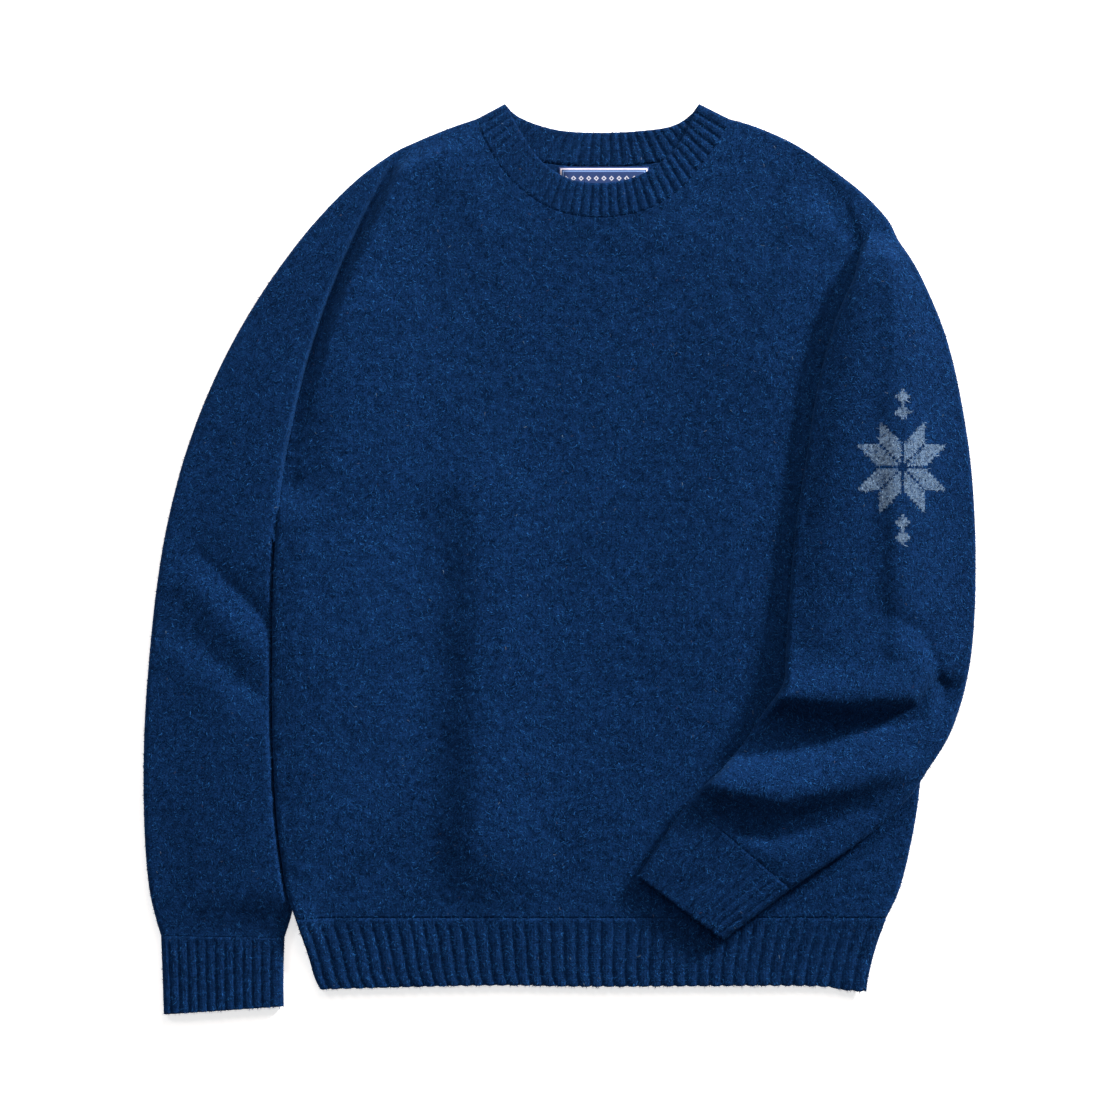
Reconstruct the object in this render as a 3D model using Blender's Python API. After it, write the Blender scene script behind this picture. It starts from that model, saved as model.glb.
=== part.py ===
"""Shetland crew-neck sweater laid flat, with one sleeve folded in over the front.

Sizes are in millimetres on a plan with X to the right and Y toward the neck, and they become metres
when a piece is made. The back layer lies on the ground, the front layer lies on the back, and the
folded sleeve lies on the front. Every piece is a cloth wall between an outer and an inner skin.
"""

import bmesh
import bpy
import numpy as np

for old in list(bpy.data.objects):
    bpy.data.objects.remove(old)

METRE = 0.001

# Cloth and seams
CLOTH = 3.0
SEAM = 0.35
BUTT = 0.7
EDGE = 4.5
MOST_SLANT = 4.0
LAYER = CLOTH + 0.3
SLIT = 3.4

# Looseness of the front layer: the most, and beside its left edge at the hem and at the shoulder
LOOSEST = 12.5
PUFF_LOW = 0.8
PUFF_HIGH = 12.0

# How much more slowly the front layer than the back comes down beside the sleeve under it
TENT = 80.0

# Rise of the folded sleeve's middle
CROWN = 3.2

# Strip beside the body over which the other sleeve comes up from under it
TUCK = 26.0

# Ribbing, and the depth and width of the bands that it covers
RIB_DEPTH = 0.8
HEM_RIBS = 46
CUFF_RIBS = 12
NECK_RIBS_FRONT = 34
NECK_RIBS_BACK = 24
RIDGE = 0.55
HEM_DEEP = 58.0
HEM_WIDE = 450.0
CUFF_DEEP = 60.0
NECK_DEEP = 28.0
NECK_FRONT_LONG = 250.0
NECK_BACK_LONG = 190.0
NECK_SEAM = 0.5

# Middle of the garment's outline, which becomes the origin
MIDDLE = (-0.35, 0.75)

# Where a sleeve runs under or over the body
UNDER_SLEEVE = 6.9
OVER_BODY = 6.9

# Distances beyond the body's edge between which the folded sleeve comes down to the ground
DROP = (1.5, 18.0)

# Shares of the folded sleeve's length over which it climbs from its seam onto the body
RISE = (0.02, 0.19)

# Side edges of the body, from the hem's lower edge to the underarm: x, y
LEFT_SIDE = [
    (-189.6, -339.0),
    (-194.5, -330.0),
    (-200.5, -308.0),
    (-208.6, -283.0),
    (-215.7, -260.7),
    (-221.2, -225.0),
    (-224.6, -189.6),
    (-226.8, -132.7),
    (-227.0, -71.0),
    (-226.4, -30.0),
    (-224.9, 10.0),
    (-220.0, 57.0),
]
RIGHT_SIDE = [
    (242.6, -341.0),
    (244.0, -330.0),
    (249.5, -308.0),
    (258.3, -283.0),
    (268.6, -260.7),
    (276.5, -230.0),
    (283.6, -189.6),
    (288.0, -135.0),
    (290.0, -65.0),
    (290.0, 0.0),
    (287.6, 57.0),
    (272.6, 110.6),
    (256.8, 165.9),
    (245.5, 213.3),
    (239.0, 253.0),
]
HEM_TOP = 3

# Armhole seams: lower end, upper end, sideways bow at the middle
LEFT_ARMHOLE = ((-220.0, 57.0), (-126.0, 325.5), 14.0)
RIGHT_ARMHOLE = ((239.0, 253.0), (199.5, 320.5), 2.5)

# Shoulder lines, each from left to right: x, y
LEFT_SHOULDER = [(-126.0, 325.5), (-103.0, 335.5), (-83.0, 343.3), (-66.0, 349.0)]
RIGHT_SHOULDER = [(134.0, 349.0), (150.0, 344.5), (167.0, 338.0), (184.0, 330.0), (199.5, 320.5)]

# Neckband across its width, from the left shoulder to the right: seam x, seam y, free edge x, y
NECK_FRONT = [
    (-66.0, 349.0, -43.5, 361.0),
    (-60.0, 332.0, -37.5, 350.0),
    (-47.0, 310.0, -28.5, 334.0),
    (-30.0, 292.0, -14.0, 314.5),
    (-4.0, 276.0, 7.0, 301.5),
    (32.0, 270.0, 31.0, 297.8),
    (70.0, 277.0, 57.0, 302.0),
    (95.0, 293.0, 79.0, 313.8),
    (113.0, 314.0, 93.5, 328.5),
    (127.0, 334.0, 103.5, 346.0),
    (134.0, 349.0, 110.0, 361.0),
]
NECK_BACK = [
    (-66.0, 349.0, -43.5, 361.0),
    (-50.0, 332.0, -35.0, 352.5),
    (-26.0, 318.5, -20.0, 345.5),
    (2.0, 313.5, 2.0, 340.0),
    (32.0, 312.0, 32.0, 338.5),
    (62.0, 313.5, 62.0, 339.8),
    (90.0, 319.0, 88.0, 343.5),
    (116.0, 332.0, 103.0, 352.0),
    (134.0, 349.0, 110.0, 361.0),
]

# Lower edge of the hem: x, y
HEM_LOW = [(-189.6, -339.0), (-126.0, -337.2), (-47.0, -335.8), (32.0, -336.8), (190.0, -336.2),
           (225.0, -339.5), (242.6, -341.0)]

# Sleeve sections: inner x, inner y, outer x, outer y, bow, top at inner edge, top at outer edge
SLEEVE_RIGHT = [
    (-220.0, 57.0, -126.0, 325.5, 14.0, 6.3, 6.3),
    (-222.4, 50.0, -160.0, 301.0, 12.0, 6.3, 6.4),
    (-223.9, 42.0, -196.0, 264.5, 10.0, 6.3, 6.5),
    (-225.0, 34.0, -229.0, 221.0, 8.0, 6.3, 6.6),
    (-225.4, 26.0, -256.0, 177.5, 5.0, 6.3, 6.8),
    (-222.6, 16.0, -278.5, 131.5, 3.0, 6.3, 7.0),
    (-214.0, 3.0, -297.0, 81.5, 1.0, 6.3, 7.4),
    (-206.0, -15.0, -311.0, 27.0, 0.0, 6.3, 7.8),
    (-202.0, -45.0, -319.5, -25.0, 0.0, 6.3, 8.2),
    (-201.0, -85.0, -325.0, -78.0, 0.0, 6.3, 8.4),
    (-201.0, -130.0, -328.6, -130.0, 0.0, 6.3, 8.4),
    (-202.0, -180.0, -329.5, -180.0, 0.0, 6.3, 8.4),
    (-205.0, -229.0, -328.0, -228.0, 0.0, 6.3, 8.2),
    (-209.0, -262.0, -324.6, -262.0, 0.0, 6.3, 7.8),
    (-212.8, -282.0, -319.6, -284.0, 0.0, 6.4, 7.4),
    (-218.0, -298.5, -315.8, -297.0, 0.0, 6.6, 7.0),
]
SLEEVE_LEFT = [
    (239.0, 253.0, 199.5, 320.5, 2.5, 6.3, 6.3),
    (240.8, 250.8, 221.0, 305.0, 2.0, 7.5, 6.6),
    (241.3, 248.0, 241.5, 288.5, 1.0, 9.5, 6.8),
    (241.8, 244.5, 259.5, 269.0, 0.0, 12.0, 7.0),
    (241.6, 240.0, 268.0, 252.0, 0.0, 14.0, 7.0),
    (237.5, 231.0, 277.5, 237.0, 0.0, 14.8, 7.0),
    (230.0, 219.0, 286.0, 222.0, 0.0, 14.8, 7.0),
    (220.0, 197.0, 300.0, 191.0, 0.0, 14.6, 7.0),
    (210.0, 166.0, 310.0, 160.0, 0.0, 14.6, 7.0),
    (201.0, 126.0, 318.5, 120.0, 0.0, 14.6, 7.0),
    (194.0, 80.0, 325.0, 76.0, 0.0, 14.6, 7.0),
    (186.0, 28.0, 328.4, 26.0, 0.0, 14.8, 7.0),
    (181.0, -26.0, 328.6, -26.0, 0.0, 15.4, 7.8),
    (178.0, -68.0, 326.0, -68.0, 0.0, 16.6, 9.0),
    (176.0, -95.0, 321.0, -99.0, 0.0, 17.4, 10.6),
    (169.0, -108.0, 314.5, -121.5, 0.0, 17.4, 12.0),
    (159.0, -122.0, 306.0, -141.5, 0.0, 17.2, 13.0),
    (145.0, -144.0, 291.5, -163.5, 0.0, 17.0, 13.6),
    (127.5, -164.0, 272.5, -190.5, 0.0, 16.8, 14.0),
    (113.8, -177.0, 238.0, -221.0, 0.0, 16.2, 14.6),
    (100.8, -191.0, 181.5, -259.5, 0.0, 15.6, 14.8),
]
CUFF_RIGHT = [
    (-218.0, -298.5, -315.8, -297.0, 0.0, 6.6, 7.0),
    (-218.8, -325.0, -314.6, -328.0, 0.0, 6.6, 6.9),
    (-218.5, -353.0, -313.6, -359.5, 0.0, 6.6, 6.8),
]
CUFF_LEFT = [
    (100.8, -191.0, 181.5, -259.5, 0.0, 15.6, 14.8),
    (81.5, -219.0, 155.5, -279.5, 0.0, 15.4, 14.8),
    (61.5, -249.0, 129.0, -299.0, 0.0, 15.2, 14.8),
]

# Folds along lines: points of the line, half width to its left and right, height at its start and
# end. A raised fold is a round roll, and a sunken one is a sharp crease.
BODY_FOLDS = [
    (((-68.0, 58.0), (-66.0, -60.0), (-70.0, -250.0)), 48.0, 19.0, 5.4, 8.0),
    (((-150.0, 205.0), (-120.0, 195.0)), 18.0, 18.0, 1.0, 1.0),
    (((-84.0, 304.0), (-62.0, 266.0)), 20.0, 20.0, 2.2, 1.2),
    (((190.0, 275.0), (220.0, 262.0)), 18.0, 18.0, 1.6, 1.6),
    (((186.0, 264.0), (158.0, 150.0)), 26.0, 14.0, 3.2, 1.6),
    (((152.0, 225.0), (146.0, 120.0), (124.0, -40.0)), 42.0, 60.0, 3.4, 2.0),
    (((-128.0, 160.0), (-150.0, -120.0)), 26.0, 30.0, 1.2, 1.2),
    (((30.0, 40.0), (12.0, -200.0)), 30.0, 22.0, 0.8, 1.0),
]
BESIDE_BODY = [
    (-130.0, 326.8), (-163.2, 263.2), (-190.0, 197.2), (-210.2, 128.9), (-224.0, 60.0),
    (-229.0, 10.0), (-229.5, -71.0), (-229.0, -133.0), (-227.0, -190.0), (-218.0, -262.0),
]
SLEEVE_RIGHT_FOLDS = [
    (BESIDE_BODY, 6.0, 46.0, 2.6, 4.4),
    (BESIDE_BODY, 6.0, 17.0, 2.2, 3.6),
    (((-284.0, 4.0), (-256.0, -24.0), (-231.0, -50.0)), 15.0, 9.0, -2.4, -4.4),
    (((-292.0, -16.0), (-245.0, -68.0)), 10.0, 14.0, 1.6, 1.6),
    (((-302.0, -53.0), (-270.0, -80.0), (-236.0, -108.0)), 18.0, 11.0, -1.6, -2.6),
    (((-304.0, -74.0), (-252.0, -122.0)), 10.0, 16.0, 1.2, 0.8),
    (((-285.0, -160.0), (-284.0, -270.0)), 26.0, 18.0, 0.9, 0.7),
]
SLEEVE_LEFT_FOLDS = [
    (((262.0, 236.0), (263.0, 90.0), (265.0, -62.0)), 26.0, 10.0, 2.4, 4.6),
    (((262.0, 236.0), (264.0, 90.0), (267.0, -62.0)), 38.0, 60.0, 4.6, 5.0),
    (((238.0, 215.0), (230.0, 170.0), (222.0, 126.0), (213.0, 60.0), (204.0, -50.0)),
     26.0, 16.0, 5.4, 3.6),
    (((170.0, -105.0), (220.0, -109.0), (277.0, -105.0), (296.0, -89.0)), 60.0, 14.0, 4.4, 3.0),
    (((170.0, -105.0), (220.0, -109.0), (277.0, -105.0), (296.0, -89.0)), 22.0, 11.0, 7.6, 4.4),
    (((141.0, -150.0), (201.0, -145.0), (231.0, -134.0), (261.5, -127.0), (284.0, -115.0),
      (298.0, -104.0)), 26.0, 9.0, -8.5, -8.0),
    (((270.0, -48.0), (287.0, -62.0), (297.0, -82.0), (299.0, -104.0)), 9.0, 10.0, -2.0, -5.5),
    (((126.0, -177.0), (174.0, -186.0), (231.5, -173.0), (261.5, -164.0)), 20.0, 12.0, 11.2, 5.0),
    (((134.0, -216.0), (166.0, -220.0), (208.6, -209.0), (240.0, -195.0)), 20.0, 10.0, -7.0, -3.2),
]
CREASE_SOFT = 1.2

# Woven label: left, right, lower and upper edge, and the thickness of its cloth
LABEL = (-0.8, 70.3, 268.0, 311.0)
LABEL_CLOTH = 0.6

# Colours: red, green, blue
NAVY = (0.0078, 0.0300, 0.0950)
NAVY_SLEEVE = (0.0085, 0.0310, 0.0960)
NAVY_RIB = (0.0070, 0.0240, 0.0700)
INDIGO = (0.0500, 0.0900, 0.2400)
WOOL_ROUGHNESS = 0.95
LABEL_ROUGHNESS = 0.6


def ease(low, high, value):
    """Soft step from 0 at low to 1 at high."""
    t = np.clip((np.asarray(value, float) - low) / (high - low), 0.0, 1.0)
    return t * t * (3.0 - 2.0 * t)


def smooth(rows, t):
    """Smooth curve through the rows of a table, t from 0 at the first row to 1 at the last."""
    rows = np.asarray(rows, float)
    last = len(rows) - 1
    t = np.clip(np.asarray(t, float), 0.0, 1.0) * last
    i = np.minimum(t.astype(int), last - 1)
    f = (t - i)[..., None]
    before = rows[np.maximum(i - 1, 0)]
    start = rows[i]
    end = rows[i + 1]
    after = rows[np.minimum(i + 2, last)]
    bend = 2 * before - 5 * start + 4 * end - after + f * (3 * (start - end) + after - before)
    return start + 0.5 * f * (end - before + f * bend)


def along(rows, t, steps=240):
    """Points evenly spaced by length on the smooth curve through the rows."""
    fine = smooth(rows, np.linspace(0.0, 1.0, steps + 1))
    length = np.concatenate(([0.0], np.cumsum(np.linalg.norm(np.diff(fine, axis=0), axis=1))))
    goal = np.asarray(t, float) * length[-1]
    return np.stack([np.interp(goal, length, fine[:, k]) for k in range(fine.shape[1])], axis=-1)


def bowed(start, end, bow, t, away=0.0):
    """Points from start to end, bowed to the left of that way, and moved away to that side."""
    start = np.asarray(start, float)
    run = np.asarray(end, float) - start
    left = np.array([-run[1], run[0]]) / np.linalg.norm(run)
    t = np.asarray(t, float)[..., None]
    return start + run * t + left * (bow * 4.0 * t * (1.0 - t) + away)


def stretches(cuts, curves, t):
    """One edge made of several curves, each over its own stretch between the cuts."""
    t = np.asarray(t, float)
    points = np.zeros(t.shape + (2,))
    for low, high, curve in zip(cuts[:-1], cuts[1:], curves):
        inside = (t >= low) & (t <= high)
        points[inside] = curve((t[inside] - low) / (high - low))
    return points


def distance(x, y, outline):
    """Distance from an outline on the plan, below zero inside it."""
    start = np.asarray(outline, float)
    end = np.roll(start, -1, axis=0)
    run = end - start
    square = np.maximum((run ** 2).sum(axis=1), 1e-9)
    px = np.asarray(x, float)[..., None] - start[:, 0]
    py = np.asarray(y, float)[..., None] - start[:, 1]
    t = np.clip((px * run[:, 0] + py * run[:, 1]) / square, 0.0, 1.0)
    gap = np.hypot(px - t * run[:, 0], py - t * run[:, 1]).min(axis=-1)
    spans = (py < 0.0) != (py < run[:, 1])
    rise = np.where(run[:, 1] == 0.0, 1.0, run[:, 1])
    crossings = (spans & (px < py * run[:, 0] / rise)).sum(axis=-1)
    return np.where(crossings % 2 == 1, -gap, gap)


def to_line(x, y, line):
    """Distance from a line, its sign to the left as 1 and to the right as -1, and share along it."""
    line = np.asarray(line, float)
    nearest = np.full(np.shape(x), np.inf)
    side = np.zeros(np.shape(x))
    share = np.zeros(np.shape(x))
    for k, (start, end) in enumerate(zip(line[:-1], line[1:])):
        run = end - start
        length = np.linalg.norm(run)
        t = np.clip(((x - start[0]) * run[0] + (y - start[1]) * run[1]) / length ** 2, 0.0, 1.0)
        off_x = x - start[0] - t * run[0]
        off_y = y - start[1] - t * run[1]
        gap = np.hypot(off_x, off_y)
        to_left = (run[0] * off_y - run[1] * off_x) / length
        closer = gap < nearest
        side = np.where(closer, to_left / np.maximum(gap, 1e-6), side)
        share = np.where(closer, (k + t) / (len(line) - 1), share)
        nearest = np.minimum(nearest, gap)
    return nearest, side, share


def folds(table, x, y):
    """Height that the folds of a table add at each place."""
    height = np.zeros(np.shape(x))
    for line, left, right, start, end in table:
        gap, side, share = to_line(x, y, line)
        width = right + (left - right) * (0.5 + 0.5 * side)
        size = start + (end - start) * share
        if start > 0.0:
            height += size * np.exp(-(gap / width) ** 2)
        else:
            height += size * np.exp((CREASE_SOFT - np.hypot(gap, CREASE_SOFT)) / width)
    return height


# Outlines on the plan

UNDERARM = 0.544
SLEEVE_POINT = 0.872
BODY_LONG = 600.0
NECK_LEFT = 0.17
NECK_RIGHT = 0.81


def left_edge(v):
    """Left edge of the body from the hem's seam to the shoulder."""
    side = LEFT_SIDE[HEM_TOP:]
    return stretches((0.0, UNDERARM, 1.0),
                     (lambda t: along(side, t), lambda t: bowed(*LEFT_ARMHOLE, t)), v)


def right_edge(v):
    """Right edge of the body from the hem's seam to the shoulder."""
    side = RIGHT_SIDE[HEM_TOP:]
    start, end, bow = RIGHT_ARMHOLE
    return stretches((0.0, SLEEVE_POINT, 1.0),
                     (lambda t: along(side, t), lambda t: bowed(start, end, -bow, t)), v)


def seam_points(neck, steps):
    """Corners of the neck seam, which the body and the band share."""
    return along(np.asarray(neck)[:, :2], np.linspace(0.0, 1.0, steps + 1))


def straight(points, t):
    """Straight runs between evenly numbered points."""
    place = np.linspace(0.0, 1.0, len(points))
    return np.stack([np.interp(t, place, points[:, k]) for k in range(2)], axis=-1)


def top_edge(u, neck, steps):
    """Upper edge of a body panel: shoulder, neck seam, shoulder."""
    corners = seam_points(neck, steps)
    return stretches((0.0, NECK_LEFT, NECK_RIGHT, 1.0),
                     (lambda t: along(LEFT_SHOULDER, t),
                      lambda t: straight(corners, t),
                      lambda t: along(RIGHT_SHOULDER, t)), u)


def body_plan(u, v, neck, steps):
    """Place on the plan of a body panel: u from left to right, v from the hem's seam up."""
    low_left = np.asarray(LEFT_SIDE[HEM_TOP], float)
    low_right = np.asarray(RIGHT_SIDE[HEM_TOP], float)
    high_left = np.asarray(LEFT_SHOULDER[0], float)
    high_right = np.asarray(RIGHT_SHOULDER[-1], float)
    top = top_edge(u, neck, steps)
    left = left_edge(v)
    right = right_edge(v)
    u = u[..., None]
    v = v[..., None]
    bottom = (1 - u) * low_left + u * low_right
    corners = ((1 - v) * bottom + v * ((1 - u) * high_left + u * high_right))
    return (1 - v) * bottom + v * top + (1 - u) * left + u * right - corners


def hem_plan(u, v):
    """Place on the plan of the hem: u from left to right, v from its seam down."""
    left = along(LEFT_SIDE[HEM_TOP::-1], v)
    right = along(RIGHT_SIDE[HEM_TOP::-1], v)
    low = along(HEM_LOW, u)
    u = u[..., None]
    v = v[..., None]
    line = (1 - u) * np.asarray(HEM_LOW[0], float) + u * np.asarray(HEM_LOW[-1], float)
    return (1 - u) * left + u * right + v * (low - line)


def tube_outline(table, steps=60):
    """Outline on the plan of a sleeve."""
    rows = smooth(table, np.linspace(0.0, 1.0, steps + 1))
    return np.concatenate([rows[:, 0:2], rows[::-1, 2:4]])


def body_outline(steps=60):
    """Outline on the plan of the body with its hem."""
    t = np.linspace(0.0, 1.0, steps + 1)
    return np.concatenate([
        along(HEM_LOW, t),
        along(RIGHT_SIDE[:HEM_TOP + 1], t),
        right_edge(t),
        top_edge(t[::-1], NECK_BACK, 12),
        left_edge(t[::-1]),
        along(LEFT_SIDE[:HEM_TOP + 1], t[::-1]),
    ])


SLEEVE_RIGHT_OUTLINE = tube_outline(SLEEVE_RIGHT)
SLEEVE_LEFT_OUTLINE = tube_outline(SLEEVE_LEFT + CUFF_LEFT[1:])
BODY_OUTLINE = body_outline()
CUFF_LEFT_OUTLINE = tube_outline(CUFF_LEFT, 8)


# Heights


def lift(x, y, reach=0.0):
    """Height by which the body rides over the sleeve that runs under its left side."""
    beyond = distance(x, y, SLEEVE_RIGHT_OUTLINE)
    reach = 34.0 + reach * ease(-283.0, -190.0, y)
    return UNDER_SLEEVE * (1.0 - ease(4.0, reach, beyond)) * (1.0 - ease(28.0, 66.0, y))


def looseness(x, y):
    """How far the front layer stands off the back layer, beyond a seam's gap."""
    neck = 2.6 * np.exp(-((x - 32.0) / 62.0) ** 2 - ((y - 282.0) / 42.0) ** 2)
    inward = x - left_edge_x(y)
    puff = (PUFF_LOW + (PUFF_HIGH - PUFF_LOW) * ease(80.0, 200.0, y)) * ease(0.0, 15.0, inward)
    puff = puff * np.exp(-(inward / 40.0) ** 2) * ease(-283.0, -210.0, y)
    loose = 0.4 + neck + puff + folds(BODY_FOLDS, x, y)
    pressed = ease(1.0, 22.0, distance(x, y, SLEEVE_LEFT_OUTLINE))
    hem = ease(-287.0, -215.0, y)
    return np.clip(loose, 0.0, LOOSEST) * pressed * hem


def left_edge_x(y):
    """X of the body's left edge at a height on the plan."""
    edge = left_edge(np.linspace(0.0, 1.0, 90))
    return np.interp(y, edge[:, 1], edge[:, 0])


def rounded(gap, share):
    """Share of a layer's height at a distance from an edge that is rounded by its share."""
    t = 1.0 - np.clip(gap / EDGE, 0.0, 1.0)
    return 1.0 - share * (1.0 - np.sqrt(1.0 - t * t))


# Closed walls


def panel_rim(rows, columns, u, v):
    """Numbers and places of a panel's rim, once round from its lower left corner."""
    rim = [(j, u[j]) for j in range(columns - 1)]
    rim += [(i * columns + columns - 1, 1.0 + v[i]) for i in range(rows - 1)]
    rim += [((rows - 1) * columns + j, 3.0 - u[j]) for j in range(columns - 1, 0, -1)]
    rim += [(i * columns, 4.0 - v[i]) for i in range(rows - 1, 0, -1)]
    return rim


def stitch(outer, inner, total):
    """Faces between two closed rims, each a list of point numbers and places round the rim."""
    faces = []
    outer = outer + [(outer[0][0], total)]
    inner = inner + [(inner[0][0], total)]
    i = 0
    j = 0
    while i < len(outer) - 1 or j < len(inner) - 1:
        turn_outer = j == len(inner) - 1 or (
            i < len(outer) - 1 and outer[i + 1][1] < inner[j + 1][1])
        if turn_outer:
            faces.append((outer[i][0], outer[i + 1][0], inner[j][0]))
            i += 1
        else:
            faces.append((outer[i][0], inner[j + 1][0], inner[j][0]))
            j += 1
    return faces


def grid_faces(rows, columns, first, around):
    """Faces of a grid of points, closed round its rows where it goes around."""
    faces = []
    for i in range(rows - 1):
        for j in range(columns if around else columns - 1):
            k = (j + 1) % columns
            row = first + i * columns
            faces.append((row + j, row + k, row + columns + k, row + columns + j))
    return faces


def make_solid(name, points, faces, colour, roughness):
    """Closed mesh object with its own material."""
    mesh = bpy.data.meshes.new(name)
    shifted = (np.asarray(points) - (*MIDDLE, 0.0)) * METRE
    mesh.from_pydata(shifted.tolist(), [], faces)
    work = bmesh.new()
    work.from_mesh(mesh)
    bmesh.ops.triangulate(work, faces=work.faces)
    bmesh.ops.recalc_face_normals(work, faces=work.faces)
    if work.calc_volume(signed=True) < 0.0:
        bmesh.ops.reverse_faces(work, faces=work.faces)
    work.to_mesh(mesh)
    work.free()
    mesh.shade_smooth()
    mesh.set_sharp_from_angle(angle=np.radians(50.0))
    material = bpy.data.materials.new(name)
    material.use_nodes = True
    shader = material.node_tree.nodes["Principled BSDF"]
    shader.inputs["Base Color"].default_value = (*colour, 1.0)
    shader.inputs["Roughness"].default_value = roughness
    shader.inputs["Metallic"].default_value = 0.0
    mesh.materials.append(material)
    piece = bpy.data.objects.new(name, mesh)
    SWEATER.objects.link(piece)
    return piece


def panel_wall(name, outer, inner, colour, roughness=WOOL_ROUGHNESS):
    """Wall between two skins, each given as points, u stations and v stations."""
    points = []
    faces = []
    rims = []
    for grid, u, v in (outer, inner):
        rows, columns = grid.shape[:2]
        first = len(points)
        faces += grid_faces(rows, columns, first, around=False)
        rims.append([(first + k, place) for k, place in panel_rim(rows, columns, u, v)])
        points += grid.reshape(-1, 3).tolist()
    faces += stitch(rims[0], rims[1], 4.0)
    return make_solid(name, points, faces, colour, roughness)


def tube_wall(name, outer, inner, colour):
    """Wall of an open tube, each skin given as rings of points and their places round the ring."""
    points = []
    faces = []
    ends = []
    for rings, place in (outer, inner):
        rows, columns = rings.shape[:2]
        first = len(points)
        faces += grid_faces(rows, columns, first, around=True)
        ends.append([[(first + row * columns + k, place[k]) for k in range(columns)]
                     for row in (0, rows - 1)])
        points += rings.reshape(-1, 3).tolist()
    for end in (0, 1):
        faces += stitch(ends[0][end], ends[1][end], 4.0)
    return make_solid(name, points, faces, colour, WOOL_ROUGHNESS)


# Body panels

EDGE_NEAR = (0.0, 0.0024, 0.0088)


def stations(*runs):
    """Stations from 0 to 1: each run gives its end and its number of steps."""
    places = [0.0]
    for end, steps in runs:
        places += np.linspace(places[-1], end, steps + 1)[1:].tolist()
    return np.array(places)


def with_edges(places, low=True, high=True):
    """Stations with two more beside each rounded edge."""
    places = list(places)
    if low:
        places = [*EDGE_NEAR, *[p for p in places if p > 0.012]]
    if high:
        places = [*[p for p in places if p < 0.988], *[1.0 - p for p in EDGE_NEAR[::-1]]]
    return np.array(places)


BACK_NECK_STEPS = 12
FRONT_NECK_STEPS = 18
COARSE_U = with_edges(stations((0.085, 4), (NECK_LEFT, 2), (NECK_RIGHT, BACK_NECK_STEPS), (1.0, 4)))
COARSE_V = with_edges(
    stations((UNDERARM, 7), (SLEEVE_POINT - 0.05, 3), (SLEEVE_POINT, 2), (1.0, 2)), low=False)
FINE_U = with_edges(stations((NECK_LEFT, 8), (NECK_RIGHT, FRONT_NECK_STEPS), (1.0, 7)))
FINE_V = with_edges(stations((UNDERARM, 17), (SLEEVE_POINT, 10), (1.0, 4)), low=False)


def panel_points(u_list, v_list, neck, steps, inset):
    """Plan of a skin and the share of rounding at each edge, drawn in by its inset there."""
    u, v = np.meshgrid(u_list, v_list)
    round_left = 1.0 - ease(UNDERARM - 0.045, UNDERARM, v)
    round_right = 1.0 - ease(SLEEVE_POINT - 0.05, SLEEVE_POINT, v)
    on_neck = (u > NECK_LEFT + 0.001) & (u < NECK_RIGHT - 0.001)
    round_top = np.where(on_neck, 0.0, 1.0)
    width = np.linalg.norm(right_edge(v) - left_edge(v), axis=-1)
    inset_top = np.where(on_neck, min(inset, 2.0), inset) / BODY_LONG
    low = inset * round_left / width
    high = 1.0 - inset * round_right / width
    u_in = low + u * (high - low)
    v_in = v * (1.0 - inset_top)
    plan = body_plan(u_in, v_in, neck, steps)
    gap_left = np.linalg.norm(plan - body_plan(0.0 * u_in, v_in, neck, steps), axis=-1)
    gap_right = np.linalg.norm(plan - body_plan(0.0 * u_in + 1.0, v_in, neck, steps), axis=-1)
    gap_top = np.linalg.norm(plan - body_plan(u_in, 0.0 * v_in + 1.0, neck, steps), axis=-1)
    share = rounded(gap_left, round_left) * rounded(gap_right, round_right)
    share = share * rounded(gap_top, round_top)
    return plan[..., 0], plan[..., 1], share


def free_of_edges(x, y):
    """Rises from nothing at the closed edges of the body, where the two layers meet."""
    t = np.linspace(0.0, 1.0, 41)
    closed = [left_edge(t * UNDERARM), along(LEFT_SHOULDER, t), along(RIGHT_SHOULDER, t),
              right_edge(t)]
    gaps = [to_line(x, y, line)[0] for line in closed]
    return ease(0.0, 22.0, np.minimum.reduce(gaps))


def front_heights(x, y, share, skin):
    """Heights of the front panel's upper or lower skin."""
    under = LAYER + lift(x, y, TENT) + looseness(x, y) * free_of_edges(x, y)
    return under + (CLOTH * share if skin == "upper" else 0.0)


def make_body():
    """Front and back body panels."""
    x, y, share = panel_points(FINE_U, FINE_V, NECK_FRONT, FRONT_NECK_STEPS, 0.0)
    upper = np.stack([x, y, front_heights(x, y, share, "upper")], axis=-1)
    x, y, share = panel_points(COARSE_U, COARSE_V, NECK_FRONT, FRONT_NECK_STEPS, CLOTH)
    lower = np.stack([x, y, front_heights(x, y, share, "lower")], axis=-1)
    panel_wall("body_front", (upper, FINE_U, FINE_V), (lower, COARSE_U, COARSE_V), NAVY)
    x, y, share = panel_points(COARSE_U, COARSE_V, NECK_BACK, BACK_NECK_STEPS, 0.0)
    lower = np.stack([x, y, lift(x, y) + CLOTH * (1.0 - share)], axis=-1)
    x, y, share = panel_points(COARSE_U, COARSE_V, NECK_BACK, BACK_NECK_STEPS, CLOTH)
    upper = np.stack([x, y, lift(x, y) + CLOTH], axis=-1)
    panel_wall("body_back", (lower, COARSE_U, COARSE_V), (upper, COARSE_U, COARSE_V), NAVY)


# Ribbed bands


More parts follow.
